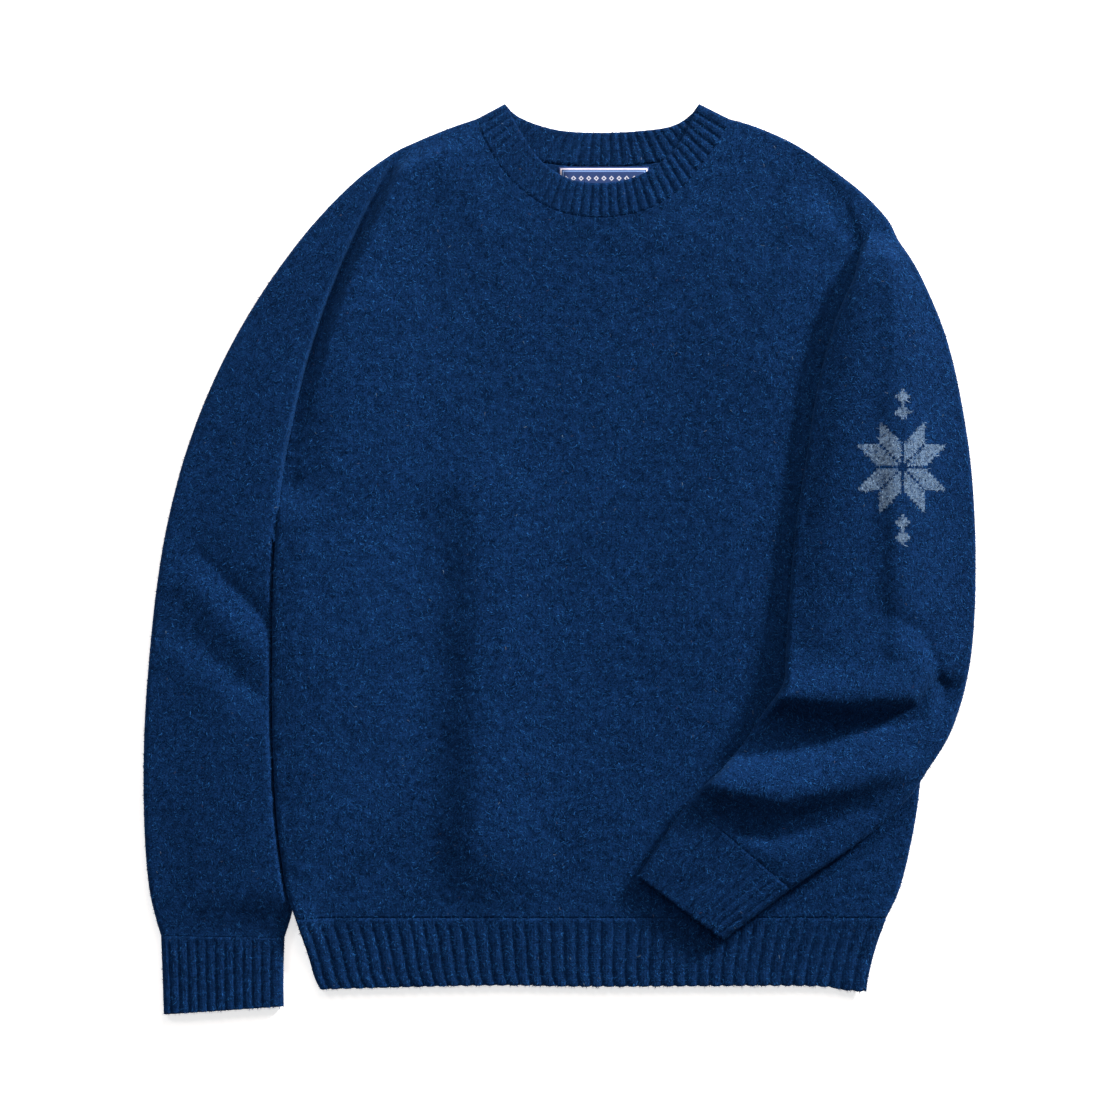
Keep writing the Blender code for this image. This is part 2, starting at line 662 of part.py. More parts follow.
def rib_stations(ribs):
    """Stations across ribs with the share of a groove at each: ridge, ridge, groove."""
    places = [0.0]
    grooves = [0.0]
    for rib in range(ribs):
        places += [(rib + RIDGE) / ribs, (rib + 0.5 + 0.5 * RIDGE) / ribs]
        grooves += [0.0, 1.0]
        if rib < ribs - 1:
            places.append((rib + 1.0) / ribs)
            grooves.append(0.0)
    places[-2:] = [1.0]
    grooves[-2:] = [0.0]
    return np.array(places), np.array(grooves)


def plain_stations(ribs, edge=0.0):
    """Stations of the plain side of ribs, one under each groove but for the rounded ends."""
    places = (np.arange(ribs - 1) + 0.5 + 0.5 * RIDGE) / ribs
    inside = (places > 2.5 * edge) & (places < 1.0 - 2.5 * edge)
    return np.concatenate([[0.0], places[inside], [1.0]])


def band_grid(plan, u_list, v_list, inset):
    """Plan of a band's skin and its distance from both ends."""
    u, v = np.meshgrid(u_list, v_list)
    length = np.linalg.norm(plan(0.0 * u + 1.0, v) - plan(0.0 * u, v), axis=-1)
    u_in = inset / length + u * (1.0 - 2.0 * inset / length)
    points = plan(u_in, v)
    ends = np.minimum(np.linalg.norm(points - plan(0.0 * u, v), axis=-1),
                      np.linalg.norm(points - plan(0.0 * u + 1.0, v), axis=-1))
    return points[..., 0], points[..., 1], ends


def near_ends(places, grooves, edge):
    """Rib stations with two more at each end, where the band is rounded."""
    inside = (places > 2.5 * edge) & (places < 1.0 - 2.5 * edge)
    extra = np.array([0.0, 0.27 * edge, edge])
    places = np.concatenate([extra, places[inside], 1.0 - extra[::-1]])
    grooves = np.concatenate([0.0 * extra, grooves[inside], 0.0 * extra])
    return places, grooves


def make_hem():
    """Ribbed hem, front and back."""
    v_list = np.array([0.0, 0.45, 1.0])
    seam = SEAM / HEM_DEEP

    def plan(u, v):
        return hem_plan(u, seam + v * (1.0 - seam))

    places, grooves = near_ends(*rib_stations(HEM_RIBS), EDGE / HEM_WIDE)
    x, y, ends = band_grid(plan, places, v_list, 0.0)
    share = rounded(ends, 1.0)
    height = lift(x, y) + LAYER + CLOTH * share - RIB_DEPTH * grooves * share
    upper = np.stack([x, y, height], axis=-1)
    coarse = plain_stations(HEM_RIBS, EDGE / HEM_WIDE)
    x, y, ends = band_grid(plan, coarse, v_list, CLOTH)
    inside = np.stack([x, y, lift(x, y) + LAYER], axis=-1)
    panel_wall("hem_front", (upper, places, v_list), (inside, coarse, v_list), NAVY_RIB)
    inside = np.stack([x, y, lift(x, y) + CLOTH], axis=-1)
    x, y, ends = band_grid(plan, coarse, v_list, 0.0)
    lower = np.stack([x, y, lift(x, y) + CLOTH * (1.0 - rounded(ends, 1.0))], axis=-1)
    panel_wall("hem_back", (lower, coarse, v_list), (inside, coarse, v_list), NAVY_RIB)


def neck_plan(neck, steps):
    """Plan of a neckband: u from shoulder to shoulder, v from its seam to its free edge."""
    corners = seam_points(neck, steps)
    edge = np.asarray(neck)[:, 2:4]
    seam = NECK_SEAM / NECK_DEEP

    def plan(u, v):
        start = straight(corners, u)
        end = along(edge, u)
        across = (seam + v * (1.0 - seam))[..., None]
        return start + (end - start) * across

    return plan


def make_neckband(name, neck, steps, ribs, front):
    """Half of the ribbed neckband."""
    v_list = np.array([0.0, 0.86, 1.0])
    plan = neck_plan(neck, steps)
    length = NECK_FRONT_LONG if front else NECK_BACK_LONG
    places, grooves = near_ends(*rib_stations(ribs), EDGE / length)
    coarse = plain_stations(ribs, EDGE / length)
    v_in = np.array([0.0, 1.0])

    def heights(x, y, ends, v, ribbed, skin):
        share = rounded(ends, 1.0)
        drop = (0.7 * ease(0.86, 1.0, v)[:, None] + ribbed) * ease(3.0, 10.0, ends)
        if front:
            under = LAYER + looseness(x, y) * ease(0.0, 22.0, ends)
            return under + (CLOTH * share - drop if skin == "outer" else 0.0)
        if skin == "outer":
            return CLOTH - drop
        return CLOTH * (1.0 - share)

    x, y, ends = band_grid(plan, places, v_list, 0.0 if front else CLOTH)
    outer = np.stack([x, y, heights(x, y, ends, v_list, RIB_DEPTH * grooves, "outer")], axis=-1)
    x, y, ends = band_grid(plan, coarse, v_in, CLOTH if front else 0.0)
    inner = np.stack([x, y, heights(x, y, ends, v_in, 0.0, "inner")], axis=-1)
    panel_wall(name, (outer, places, v_list), (inner, coarse, v_in), NAVY_RIB)


# Sleeves and cuffs


def knee_stations(row, count):
    """Stations of a ring's underside, with one where it leaves the body and one on the ground."""
    even = np.linspace(0.0, 1.0, count)
    start = row[0:2]
    run = row[2:4] - start
    width = np.linalg.norm(run) - 2 * EDGE
    fine = np.linspace(0.0, 1.0, 200)
    place = start + run * (EDGE + fine[:, None] * width) / (width + 2 * EDGE)
    over = fine[distance(place[:, 0], place[:, 1], BODY_OUTLINE) < DROP[0]]
    knee = np.clip(over.max() if len(over) else 0.0, 0.10, 0.90)
    foot = min(knee + (DROP[1] - DROP[0]) / width, 0.5 * (knee + 1.0))
    low = np.linspace(0.0, knee, count - count // 2)
    high = np.linspace(foot, 1.0, count // 2 - 1)
    kneed = np.concatenate([low, [0.5 * (knee + foot)], high])
    return even + (kneed - even) * ease(*RISE, row[-1])


def slant(rows, first):
    """How much longer a width is along each section than square to the tube's edge there."""
    run = rows[:, 2:4] - rows[:, 0:2]
    travel = np.gradient(rows[:, first:first + 2], axis=0)
    cross = np.abs(run[:, 0] * travel[:, 1] - run[:, 1] * travel[:, 0])
    square = cross / (np.linalg.norm(run, axis=1) * np.linalg.norm(travel, axis=1))
    return 1.0 / np.clip(square, 1.0 / MOST_SLANT, 1.0)


def ring_skin(rows, stations_top, stations_bottom, angles, edge, heights, knee=False):
    """Rings of points for one skin of a flattened tube."""
    rings = []
    for row, ahead, near_slant, far_slant in zip(
            rows, forward_sides(rows), slant(rows, 0), slant(rows, 2)):
        start = row[0:2]
        run = row[2:4] - start
        width = np.linalg.norm(run)
        near_edge = EDGE * near_slant
        flat_width = width - near_edge - EDGE * far_slant
        sine = np.sin(np.radians(angles))
        cosine = np.cos(np.radians(angles))
        below = knee_stations(row, len(stations_bottom)) if knee else stations_bottom
        flat_bottom = near_edge + below * flat_width
        flat_top = near_edge + stations_top * flat_width
        far = width - far_slant * (EDGE - edge * cosine)
        near = near_slant * (EDGE - edge * cosine)
        s = np.concatenate([flat_bottom, far, flat_top[::-1], near[::-1]]) / width
        plan = start + run * s[:, None] + ahead * (row[4] * 4.0 * s * (1.0 - s))[:, None]
        low, high = heights(plan[:, 0], plan[:, 1], s, row)
        n_low = len(flat_bottom)
        n_arc = len(angles)
        n_top = len(flat_top)
        z = np.empty(len(s))
        z[:n_low] = low[:n_low]
        z[n_low + n_arc:n_low + n_arc + n_top] = high[n_low + n_arc:n_low + n_arc + n_top]
        corner_low = low[n_low - 1]
        corner_high = high[n_low + n_arc]
        middle = 0.5 * (corner_low + corner_high)
        z[n_low:n_low + n_arc] = middle + 0.5 * (corner_high - corner_low) * sine
        corner_low = low[0]
        corner_high = high[n_low + n_arc + n_top - 1]
        middle = 0.5 * (corner_low + corner_high)
        z[n_low + n_arc + n_top:] = middle + 0.5 * (corner_high - corner_low) * sine[::-1]
        rings.append(np.column_stack([plan, z]))
    return np.array(rings)


def ring_numbers(stations_top, stations_bottom, angles):
    """Places round the ring of each of its points, for joining two skins."""
    share = (angles + 90.0) / 180.0
    return np.concatenate([stations_bottom * 0.98, 1.0 + share * 0.98,
                           2.0 + stations_top * 0.98, 3.0 + share * 0.98])


def forward_sides(rows):
    """Direction on the plan in which the sleeve runs, square to each section."""
    run = rows[:, 2:4] - rows[:, 0:2]
    square = np.column_stack([-run[:, 1], run[:, 0]])
    square /= np.linalg.norm(square, axis=1)[:, None]
    middle = 0.5 * (rows[:, 0:2] + rows[:, 2:4])
    travel = np.gradient(middle, axis=0)
    side = np.sign((square * travel).sum(axis=1).mean())
    return square * side


def sleeve_heights(relief, ground, smallest=6.3):
    """Heights of a tube's two skins above the ground, as two functions."""

    def outer(x, y, s, row):
        low = ground(x, y, row)
        high = row[5] + (row[6] - row[5]) * s + relief(x, y, s)
        return low, np.maximum(high, low + smallest)

    def inner(x, y, s, row):
        low, high = outer(x, y, s, row)
        ceiling = high - CLOTH
        return np.maximum(low + CLOTH, ceiling - SLIT), ceiling

    return outer, inner


def make_sleeve(name, table, t, top, relief, ground, knee):
    """Flattened tube of one sleeve."""
    table = [(*row, k / (len(table) - 1)) for k, row in enumerate(table)]
    rows = smooth(table, t)
    forward = forward_sides(rows)
    rows[0, 0:2] += forward[0] * BUTT
    rows[0, 2:4] += forward[0] * BUTT
    outer, inner = sleeve_heights(relief, ground)
    angles = np.array([-50.0, 0.0, 50.0])
    places = ring_numbers(top, top, angles)
    tube_wall(name,
              (ring_skin(rows, top, top, angles, EDGE, outer, knee), places),
              (ring_skin(rows, top, top, angles, EDGE - CLOTH, inner), places),
              NAVY_SLEEVE)


def make_cuff(name, table, ground):
    """Ribbed tube at the end of a sleeve."""
    rows = smooth(table, np.array([SEAM / CUFF_DEEP, 0.5, 1.0]))
    top, grooves = rib_stations(CUFF_RIBS)
    bottom = np.linspace(0.0, 1.0, 5)
    plain = plain_stations(CUFF_RIBS)
    angles = np.array([-50.0, 0.0, 50.0])

    def relief(x, y, s):
        return 0.5 * np.sin(np.pi * np.clip(s, 0.0, 1.0))

    outer, inner = sleeve_heights(relief, ground)

    def ribbed(x, y, s, row):
        low, high = outer(x, y, s, row)
        first = len(bottom) + len(angles)
        high = high.copy()
        high[first:first + len(top)] -= RIB_DEPTH * grooves[::-1]
        return low, high

    skins = [(ring_skin(rows, top, bottom, angles, EDGE, ribbed),
              ring_numbers(top, bottom, angles)),
             (ring_skin(rows, plain, bottom, angles, EDGE - CLOTH, inner),
              ring_numbers(plain, bottom, angles))]
    tube_wall(name, skins[0], skins[1], NAVY_RIB)


def on_ground(x, y, row):
    """Ground under the sleeve that lies beside the body."""
    return np.zeros(np.shape(x))


def on_body(x, y, row):
    """Ground under the folded sleeve: the front panel, and the floor beyond the body's edge."""
    over = 1.0 - ease(*DROP, distance(x, y, BODY_OUTLINE))
    return OVER_BODY * over * ease(*RISE, row[-1])


def on_front(x, y, row):
    """Ground under the folded cuff."""
    return np.full(np.shape(x), OVER_BODY)


def right_relief(x, y, s):
    """Folds of the sleeve beside the body, pressed flat where the body lies on it."""
    free = ease(0.0, TUCK, distance(x, y, BODY_OUTLINE)) * ease(-299.0, -258.0, y)
    crown = 1.2 * np.sin(np.pi * np.clip(s, 0.0, 1.0))
    return free * (crown + folds(SLEEVE_RIGHT_FOLDS, x, y))


def left_relief(x, y, s):
    """Folds of the sleeve that lies on the front, less near its cuff and its shoulder."""
    crown = CROWN * np.sin(np.pi * np.clip(s, 0.0, 1.0))
    cuff = ease(0.0, 26.0, distance(x, y, CUFF_LEFT_OUTLINE))
    shoulder = ease(262.0, 236.0, y)
    return cuff * shoulder * (crown + folds(SLEEVE_LEFT_FOLDS, x, y))


def make_sleeves():
    """Both sleeves with their cuffs."""
    t = np.linspace(0.0, 1.0, 23)
    make_sleeve("sleeve_right", SLEEVE_RIGHT, t, np.linspace(0.0, 1.0, 10), right_relief, on_ground,
                knee=False)
    make_cuff("cuff_right", CUFF_RIGHT, on_ground)
    t = np.concatenate([np.linspace(0.0, 0.3, 8), np.linspace(0.3, 0.62, 7)[1:],
                        np.linspace(0.62, 1.0, 17)[1:]])
    make_sleeve("sleeve_left", SLEEVE_LEFT, t, np.linspace(0.0, 1.0, 14), left_relief, on_body,
                knee=True)
    make_cuff("cuff_left", CUFF_LEFT, on_front)


def make_label():
    """Thin woven label on the inside of the back."""
    left, right, low, high = LABEL
    places = np.linspace(0.0, 1.0, 5)
    u, v = np.meshgrid(places, places)
    x = left + u * (right - left)
    y = low + v * (high - low)
    upper = np.stack([x, y, 0.0 * x + LAYER + LABEL_CLOTH], axis=-1)
    lower = np.stack([x, y, 0.0 * x + LAYER], axis=-1)
    panel_wall("label", (upper, places, places), (lower, places, places), INDIGO, LABEL_ROUGHNESS)


SWEATER = bpy.data.collections.new("shetland_sweater")
bpy.context.scene.collection.children.link(SWEATER)

make_body()
make_hem()
make_neckband("neckband_front", NECK_FRONT, FRONT_NECK_STEPS, NECK_RIBS_FRONT, front=True)
make_neckband("neckband_back", NECK_BACK, BACK_NECK_STEPS, NECK_RIBS_BACK, front=False)
make_sleeves()
make_label()
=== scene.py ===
"""Looks of a shetland crew-neck sweater laid flat, with one sleeve folded in over the front.

The cloth's form is worked out in millimetres on a plan, X to the right and Y toward the neck, as
walls between an outer and an inner skin. Brushed fibres are thin ribbons rooted in the outer skins.
"""

import bmesh
import bpy
import numpy as np
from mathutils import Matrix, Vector


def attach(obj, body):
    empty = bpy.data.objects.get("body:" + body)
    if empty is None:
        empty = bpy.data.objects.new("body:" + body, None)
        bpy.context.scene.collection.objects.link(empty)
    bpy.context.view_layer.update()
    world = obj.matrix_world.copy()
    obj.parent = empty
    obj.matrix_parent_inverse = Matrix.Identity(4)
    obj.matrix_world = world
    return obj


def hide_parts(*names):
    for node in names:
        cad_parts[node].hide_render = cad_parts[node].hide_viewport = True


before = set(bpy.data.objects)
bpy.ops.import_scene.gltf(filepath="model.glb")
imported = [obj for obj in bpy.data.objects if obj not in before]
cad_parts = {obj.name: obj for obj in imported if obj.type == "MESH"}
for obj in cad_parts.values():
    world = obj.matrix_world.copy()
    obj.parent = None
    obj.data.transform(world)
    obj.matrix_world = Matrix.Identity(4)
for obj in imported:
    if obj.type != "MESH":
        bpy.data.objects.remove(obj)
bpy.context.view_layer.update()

# A millimetre of the plan in metres
METRE = 0.001


# Sizes in millimetres

# Thickness of the cloth and width of its rounded edges
CLOTH = 3.0
EDGE = 4.5

# Height at which the front layer starts, least height of a flat tube and most room inside one
LAYER = CLOTH + 0.3
TWO_LAYERS = 6.3
SLIT = 3.4

# Place at which a band starts below its seam line; below zero it laps over the body's edge
SEAM = -0.15

# How many times longer a tube's rounded side may get where it runs at a slant to the section
MOST_SLANT = 4.0

# Looseness of the front layer: the least and the most, and how far in from a closed edge it grows
LEAST_LOOSE = 0.4
LOOSEST = 12.5
CLOSED_EDGE = 22.0

# Loose strip beside the front's left edge: its height low down and toward the shoulder, places up
# the plan between which it grows, how far in it rises and how wide it is
PUFF_LOW = 0.8
PUFF_HIGH = 12.0
PUFF_GROWS = (80.0, 200.0)
PUFF_RISE = 15.0
PUFF_WIDE = 40.0

# Loose part of the front beside the underarm, where the sleeve under it ends: places up the plan
# between which it fades, how far in it rises and how wide it is
UNDERARM_ENDS = (66.0, 200.0)
UNDERARM_RISE = 50.0
UNDERARM_WIDE = 80.0

# Places up the plan over which the strip and the whole front come loose above the hem
PUFF_FOOT = (-283.0, -210.0)
FRONT_FOOT = (-287.0, -215.0)

# Rise of the front below the neckband: its height, its middle and how far it spreads
NECK_RISE = 2.6
NECK_RISE_PLACE = (32.0, 282.0)
NECK_RISE_SPREAD = (62.0, 42.0)

# Distances from the folded sleeve over which the front is pressed flat
PRESSED = (1.0, 22.0)

# Distances beyond the sleeve under it between which the body comes down to the ground, and places up
# the plan between which it does so toward the shoulder
BODY_DROP = (4.0, 34.0)
SHOULDER_DROP = (28.0, 66.0)

# How much farther out the front layer than the back comes down there, and where up the plan that grows
TENT = 80.0
TENT_GROWS = (-283.0, -190.0)

# Rise of the middle of the folded sleeve, of the one beside the body, and of both at their cuffs
CROWN = 5.0
CROWN_BESIDE = 1.2
CROWN_AT_CUFF = 0.5

# Where the folds end: distance from the folded cuff, and places up the plan at the shoulder end of the
# folded sleeve and at the cuff of the other
FOLDS_FROM_CUFF = 16.0
FOLDS_FROM_SHOULDER = (262.0, 236.0)
FOLDS_ABOVE_CUFF = (-299.0, -258.0)

# Strip beside the body over which the other sleeve comes up from under it
TUCK = 3.0

# Ribs of each band, and the share of a rib's pitch that is ridge
HEM_RIBS = 46
CUFF_RIBS = 12
NECK_RIBS_FRONT = 34
NECK_RIBS_BACK = 24
RIDGE = 0.55

# Sizes of the bands, and height of the body panels
HEM_DEEP = 57.0
HEM_WIDE = 450.0
CUFF_DEEP = 60.0
NECK_DEEP = 28.0
NECK_LONG_FRONT = 250.0
NECK_LONG_BACK = 190.0
PANEL_TALL = 600.0

# Middle of the garment's outline, which becomes the origin
MIDDLE = (-0.35, 0.75)

# Height of the body where the right sleeve runs under it, and of the ground under the folded sleeve
UNDER_SLEEVE = 8.4
OVER_BODY = 6.9

# Distances beyond the body's edge between which the folded sleeve comes down to the ground
DROP = (1.5, 18.0)

# Shares of the folded sleeve's length over which it climbs from its seam onto the body
RISE = (0.02, 0.19)

# Side edges of the body, from the hem's lower edge to the underarm: x, y
LEFT_SIDE = [
    (-189.6, -339.0),
    (-194.5, -330.0),
    (-200.5, -308.0),
    (-208.6, -283.0),
    (-215.7, -260.7),
    (-221.2, -225.0),
    (-224.6, -189.6),
    (-226.8, -132.7),
    (-227.0, -71.0),
    (-226.4, -30.0),
    (-224.9, 10.0),
    (-220.0, 57.0),
]
RIGHT_SIDE = [
    (242.6, -341.0),
    (244.0, -330.0),
    (249.5, -308.0),
    (258.3, -283.0),
    (268.6, -260.7),
    (276.5, -230.0),
    (283.6, -189.6),
    (288.0, -135.0),
    (290.0, -65.0),
    (290.0, 0.0),
    (287.6, 57.0),
    (272.6, 110.6),
    (256.8, 165.9),
    (245.5, 213.3),
    (239.0, 253.0),
]

# Row of both tables above that lies at the hem's seam
HEM_TOP = 3

# Armhole seams: lower end, upper end, sideways bow at the middle
LEFT_ARMHOLE = ((-220.0, 57.0), (-126.0, 325.5), 14.0)
RIGHT_ARMHOLE = ((239.0, 253.0), (199.5, 320.5), 2.5)

# Shoulder lines, each from left to right: x, y
LEFT_SHOULDER = [(-126.0, 325.5), (-103.0, 335.5), (-83.0, 343.3), (-66.0, 349.0)]
RIGHT_SHOULDER = [(134.0, 349.0), (150.0, 344.5), (167.0, 338.0), (184.0, 330.0), (199.5, 320.5)]

# Neckband across its width, from the left shoulder to the right: seam x, seam y, free edge x, y
NECK_FRONT = [
    (-66.0, 349.0, -43.5, 361.0),
    (-60.0, 332.0, -37.5, 350.0),
    (-47.0, 310.0, -28.5, 334.0),
    (-30.0, 292.0, -14.0, 314.5),
    (-4.0, 276.0, 7.0, 301.5),
    (32.0, 270.0, 31.0, 297.8),
    (70.0, 277.0, 57.0, 302.0),
    (95.0, 293.0, 79.0, 313.8),
    (113.0, 314.0, 93.5, 328.5),
    (127.0, 334.0, 103.5, 346.0),
    (134.0, 349.0, 110.0, 361.0),
]
NECK_BACK = [
    (-66.0, 349.0, -43.5, 361.0),
    (-50.0, 332.0, -35.0, 352.5),
    (-26.0, 318.5, -20.0, 345.5),
    (2.0, 313.5, 2.0, 340.0),
    (32.0, 312.0, 32.0, 338.5),
    (62.0, 313.5, 62.0, 339.8),
    (90.0, 319.0, 88.0, 343.5),
    (116.0, 332.0, 103.0, 352.0),
    (134.0, 349.0, 110.0, 361.0),
]

# Lower edge of the hem: x, y
HEM_LOW = [(-189.6, -339.0), (-126.0, -337.2), (-47.0, -335.8), (32.0, -336.8), (190.0, -336.2),
           (225.0, -339.5), (242.6, -341.0)]

# Sleeve sections: inner x, inner y, outer x, outer y, bow, top at inner edge, top at outer edge
SLEEVE_RIGHT = [
    (-220.0, 57.0, -126.0, 325.5, 14.0, 6.3, 6.3),
    (-219.6, 50.0, -160.0, 301.0, 12.0, 6.3, 6.4),
    (-220.0, 42.0, -196.0, 264.5, 10.0, 6.3, 6.5),
    (-220.6, 34.0, -229.0, 221.0, 8.0, 6.3, 6.6),
    (-221.4, 26.0, -256.0, 177.5, 5.0, 6.3, 6.8),
    (-221.0, 16.0, -278.5, 131.5, 3.0, 6.3, 7.0),
    (-214.0, 3.0, -297.0, 81.5, 1.0, 6.3, 7.4),
    (-206.0, -15.0, -311.0, 27.0, 0.0, 6.3, 7.8),
    (-202.0, -45.0, -319.5, -25.0, 0.0, 6.3, 8.2),
    (-201.0, -85.0, -325.0, -78.0, 0.0, 6.3, 8.4),
    (-201.0, -130.0, -328.6, -130.0, 0.0, 6.3, 8.4),
    (-202.0, -180.0, -329.5, -180.0, 0.0, 6.3, 8.4),
    (-205.0, -229.0, -328.0, -228.0, 0.0, 6.3, 8.2),
    (-209.0, -262.0, -324.6, -262.0, 0.0, 6.3, 7.8),
    (-212.8, -282.0, -319.6, -284.0, 0.0, 6.4, 7.4),
    (-218.0, -298.5, -315.8, -297.0, 0.0, 6.6, 7.0),
]
SLEEVE_LEFT = [
    (239.0, 253.0, 199.5, 320.5, 2.5, 6.3, 6.3),
    (238.4, 251.0, 221.0, 305.0, 2.0, 8.2, 6.6),
    (237.6, 248.5, 241.5, 288.5, 1.0, 10.5, 6.8),
    (236.8, 245.5, 259.5, 269.0, 0.0, 12.6, 7.0),
    (235.8, 240.5, 268.0, 252.0, 0.0, 14.2, 7.0),
    (233.5, 231.5, 277.5, 237.0, 0.0, 14.8, 7.0),
    (230.0, 219.0, 286.0, 222.0, 0.0, 14.8, 7.0),
    (220.0, 197.0, 300.0, 191.0, 0.0, 14.6, 7.0),
    (210.0, 166.0, 310.0, 160.0, 0.0, 14.6, 7.0),
    (201.0, 126.0, 318.5, 120.0, 0.0, 14.6, 7.0),
    (194.0, 80.0, 325.0, 76.0, 0.0, 14.6, 7.0),
    (186.0, 28.0, 328.4, 26.0, 0.0, 14.8, 7.0),
    (181.0, -26.0, 328.6, -26.0, 0.0, 15.4, 7.8),
    (178.0, -68.0, 326.0, -68.0, 0.0, 16.6, 9.0),
    (176.0, -95.0, 321.0, -99.0, 0.0, 17.4, 10.6),
    (169.0, -108.0, 314.5, -121.5, 0.0, 17.4, 12.0),
    (159.0, -122.0, 306.0, -141.5, 0.0, 17.2, 13.0),
    (145.0, -144.0, 291.5, -163.5, 0.0, 17.0, 13.6),
    (127.5, -164.0, 272.5, -190.5, 0.0, 16.8, 14.0),
    (113.8, -177.0, 238.0, -221.0, 0.0, 16.2, 14.6),
    (100.8, -191.0, 181.5, -259.5, 0.0, 15.6, 14.8),
]
CUFF_RIGHT = [
    (-218.0, -298.5, -315.8, -297.0, 0.0, 6.6, 7.0),
    (-218.8, -325.0, -314.6, -328.0, 0.0, 6.6, 6.9),
    (-218.5, -353.0, -313.6, -359.5, 0.0, 6.6, 6.8),
]
CUFF_LEFT = [
    (100.8, -191.0, 181.5, -259.5, 0.0, 15.6, 14.8),
    (81.5, -219.0, 155.5, -279.5, 0.0, 15.4, 14.8),
    (61.5, -249.0, 129.0, -299.0, 0.0, 15.2, 14.8),
]

# Folds along lines: points of the line, half width to its left and right, height at its start and
# end. A raised fold is a round roll, and a sunken one is a sharp crease.
BODY_FOLDS = [
    (((-64.0, 40.0), (-63.0, -60.0), (-67.0, -250.0)), 48.0, 23.0, 5.6, 9.0),
    (((-150.0, 205.0), (-120.0, 195.0)), 18.0, 18.0, 1.0, 1.0),
    (((-84.0, 304.0), (-62.0, 266.0)), 20.0, 20.0, 2.2, 1.2),
    (((190.0, 275.0), (220.0, 262.0)), 18.0, 18.0, 1.6, 1.6),
    (((186.0, 264.0), (158.0, 150.0)), 26.0, 14.0, 3.2, 1.6),
    (((152.0, 225.0), (146.0, 120.0), (124.0, -40.0)), 42.0, 60.0, 3.4, 2.0),
    (((-128.0, 160.0), (-150.0, -120.0)), 26.0, 30.0, 1.2, 1.2),
    (((30.0, 40.0), (12.0, -200.0)), 30.0, 22.0, 0.8, 1.0),
]
BESIDE_BODY = [
    (-130.0, 326.8), (-163.2, 263.2), (-190.0, 197.2), (-210.2, 128.9), (-224.0, 60.0),
    (-229.0, 10.0), (-229.5, -71.0), (-229.0, -133.0), (-227.0, -190.0), (-218.0, -262.0),
]
SLEEVE_RIGHT_FOLDS = [
    (BESIDE_BODY, 6.0, 62.0, 4.2, 7.2),
    (BESIDE_BODY, 6.0, 17.0, 1.4, 0.6),
    (((-284.0, 4.0), (-256.0, -24.0), (-231.0, -50.0)), 15.0, 9.0, -2.4, -4.4),
    (((-292.0, -16.0), (-245.0, -68.0)), 10.0, 14.0, 1.6, 1.6),
    (((-302.0, -53.0), (-270.0, -80.0), (-236.0, -108.0)), 18.0, 11.0, -1.6, -2.6),
    (((-304.0, -74.0), (-252.0, -122.0)), 10.0, 16.0, 1.2, 0.8),
    (((-285.0, -160.0), (-284.0, -270.0)), 26.0, 18.0, 0.9, 0.7),
]
SLEEVE_LEFT_FOLDS = [
    (((262.0, 236.0), (263.0, 90.0), (265.0, -62.0)), 26.0, 10.0, 2.4, 4.6),
    (((262.0, 236.0), (264.0, 90.0), (267.0, -62.0)), 38.0, 60.0, 4.6, 5.0),
    (((238.0, 215.0), (230.0, 170.0), (222.0, 126.0), (213.0, 60.0), (204.0, -50.0)),
     26.0, 16.0, 5.4, 3.6),
    (((170.0, -105.0), (220.0, -109.0), (277.0, -105.0), (296.0, -89.0)), 60.0, 14.0, 4.4, 3.0),
    (((170.0, -105.0), (220.0, -109.0), (277.0, -105.0), (296.0, -89.0)), 22.0, 11.0, 9.8, 5.4),
    (((141.0, -150.0), (201.0, -145.0), (231.0, -134.0), (261.5, -127.0), (284.0, -115.0),
      (298.0, -104.0)), 26.0, 9.0, -8.5, -8.0),
    (((262.0, -44.0), (286.0, -58.0), (297.0, -80.0), (299.0, -106.0)), 10.0, 13.0, -4.2, -7.0),
    (((126.0, -177.0), (174.0, -186.0), (231.5, -173.0), (261.5, -164.0)), 20.0, 12.0, 11.2, 5.0),
    (((134.0, -216.0), (166.0, -220.0), (208.6, -209.0), (240.0, -195.0)), 20.0, 10.0, -7.0, -3.2),
]

# Distance within which the bottom of a sharp crease is rounded
CREASE_SOFT = 1.2

# Woven label: left, right, lower and upper edge, and the thickness of its cloth
LABEL = (-0.8, 70.3, 268.0, 311.0)
LABEL_CLOTH = 0.6


# Curves, distances and folds


def ease(low, high, value):
    """Soft step from 0 at low to 1 at high."""
    t = np.clip((np.asarray(value, float) - low) / (high - low), 0.0, 1.0)
    return t * t * (3.0 - 2.0 * t)


def smooth(rows, t):
    """Smooth curve through the rows of a table, t from 0 at the first row to 1 at the last."""
    rows = np.asarray(rows, float)
    last = len(rows) - 1
    t = np.clip(np.asarray(t, float), 0.0, 1.0) * last
    i = np.minimum(t.astype(int), last - 1)
    f = (t - i)[..., None]
    before = rows[np.maximum(i - 1, 0)]
    start = rows[i]
    end = rows[i + 1]
    after = rows[np.minimum(i + 2, last)]
    bend = 2 * before - 5 * start + 4 * end - after + f * (3 * (start - end) + after - before)
    return start + 0.5 * f * (end - before + f * bend)


def along(rows, t, steps=240):
    """Points evenly spaced by length on the smooth curve through the rows."""
    fine = smooth(rows, np.linspace(0.0, 1.0, steps + 1))
    length = np.concatenate(([0.0], np.cumsum(np.linalg.norm(np.diff(fine, axis=0), axis=1))))
    goal = np.asarray(t, float) * length[-1]
    return np.stack([np.interp(goal, length, fine[:, k]) for k in range(fine.shape[1])], axis=-1)


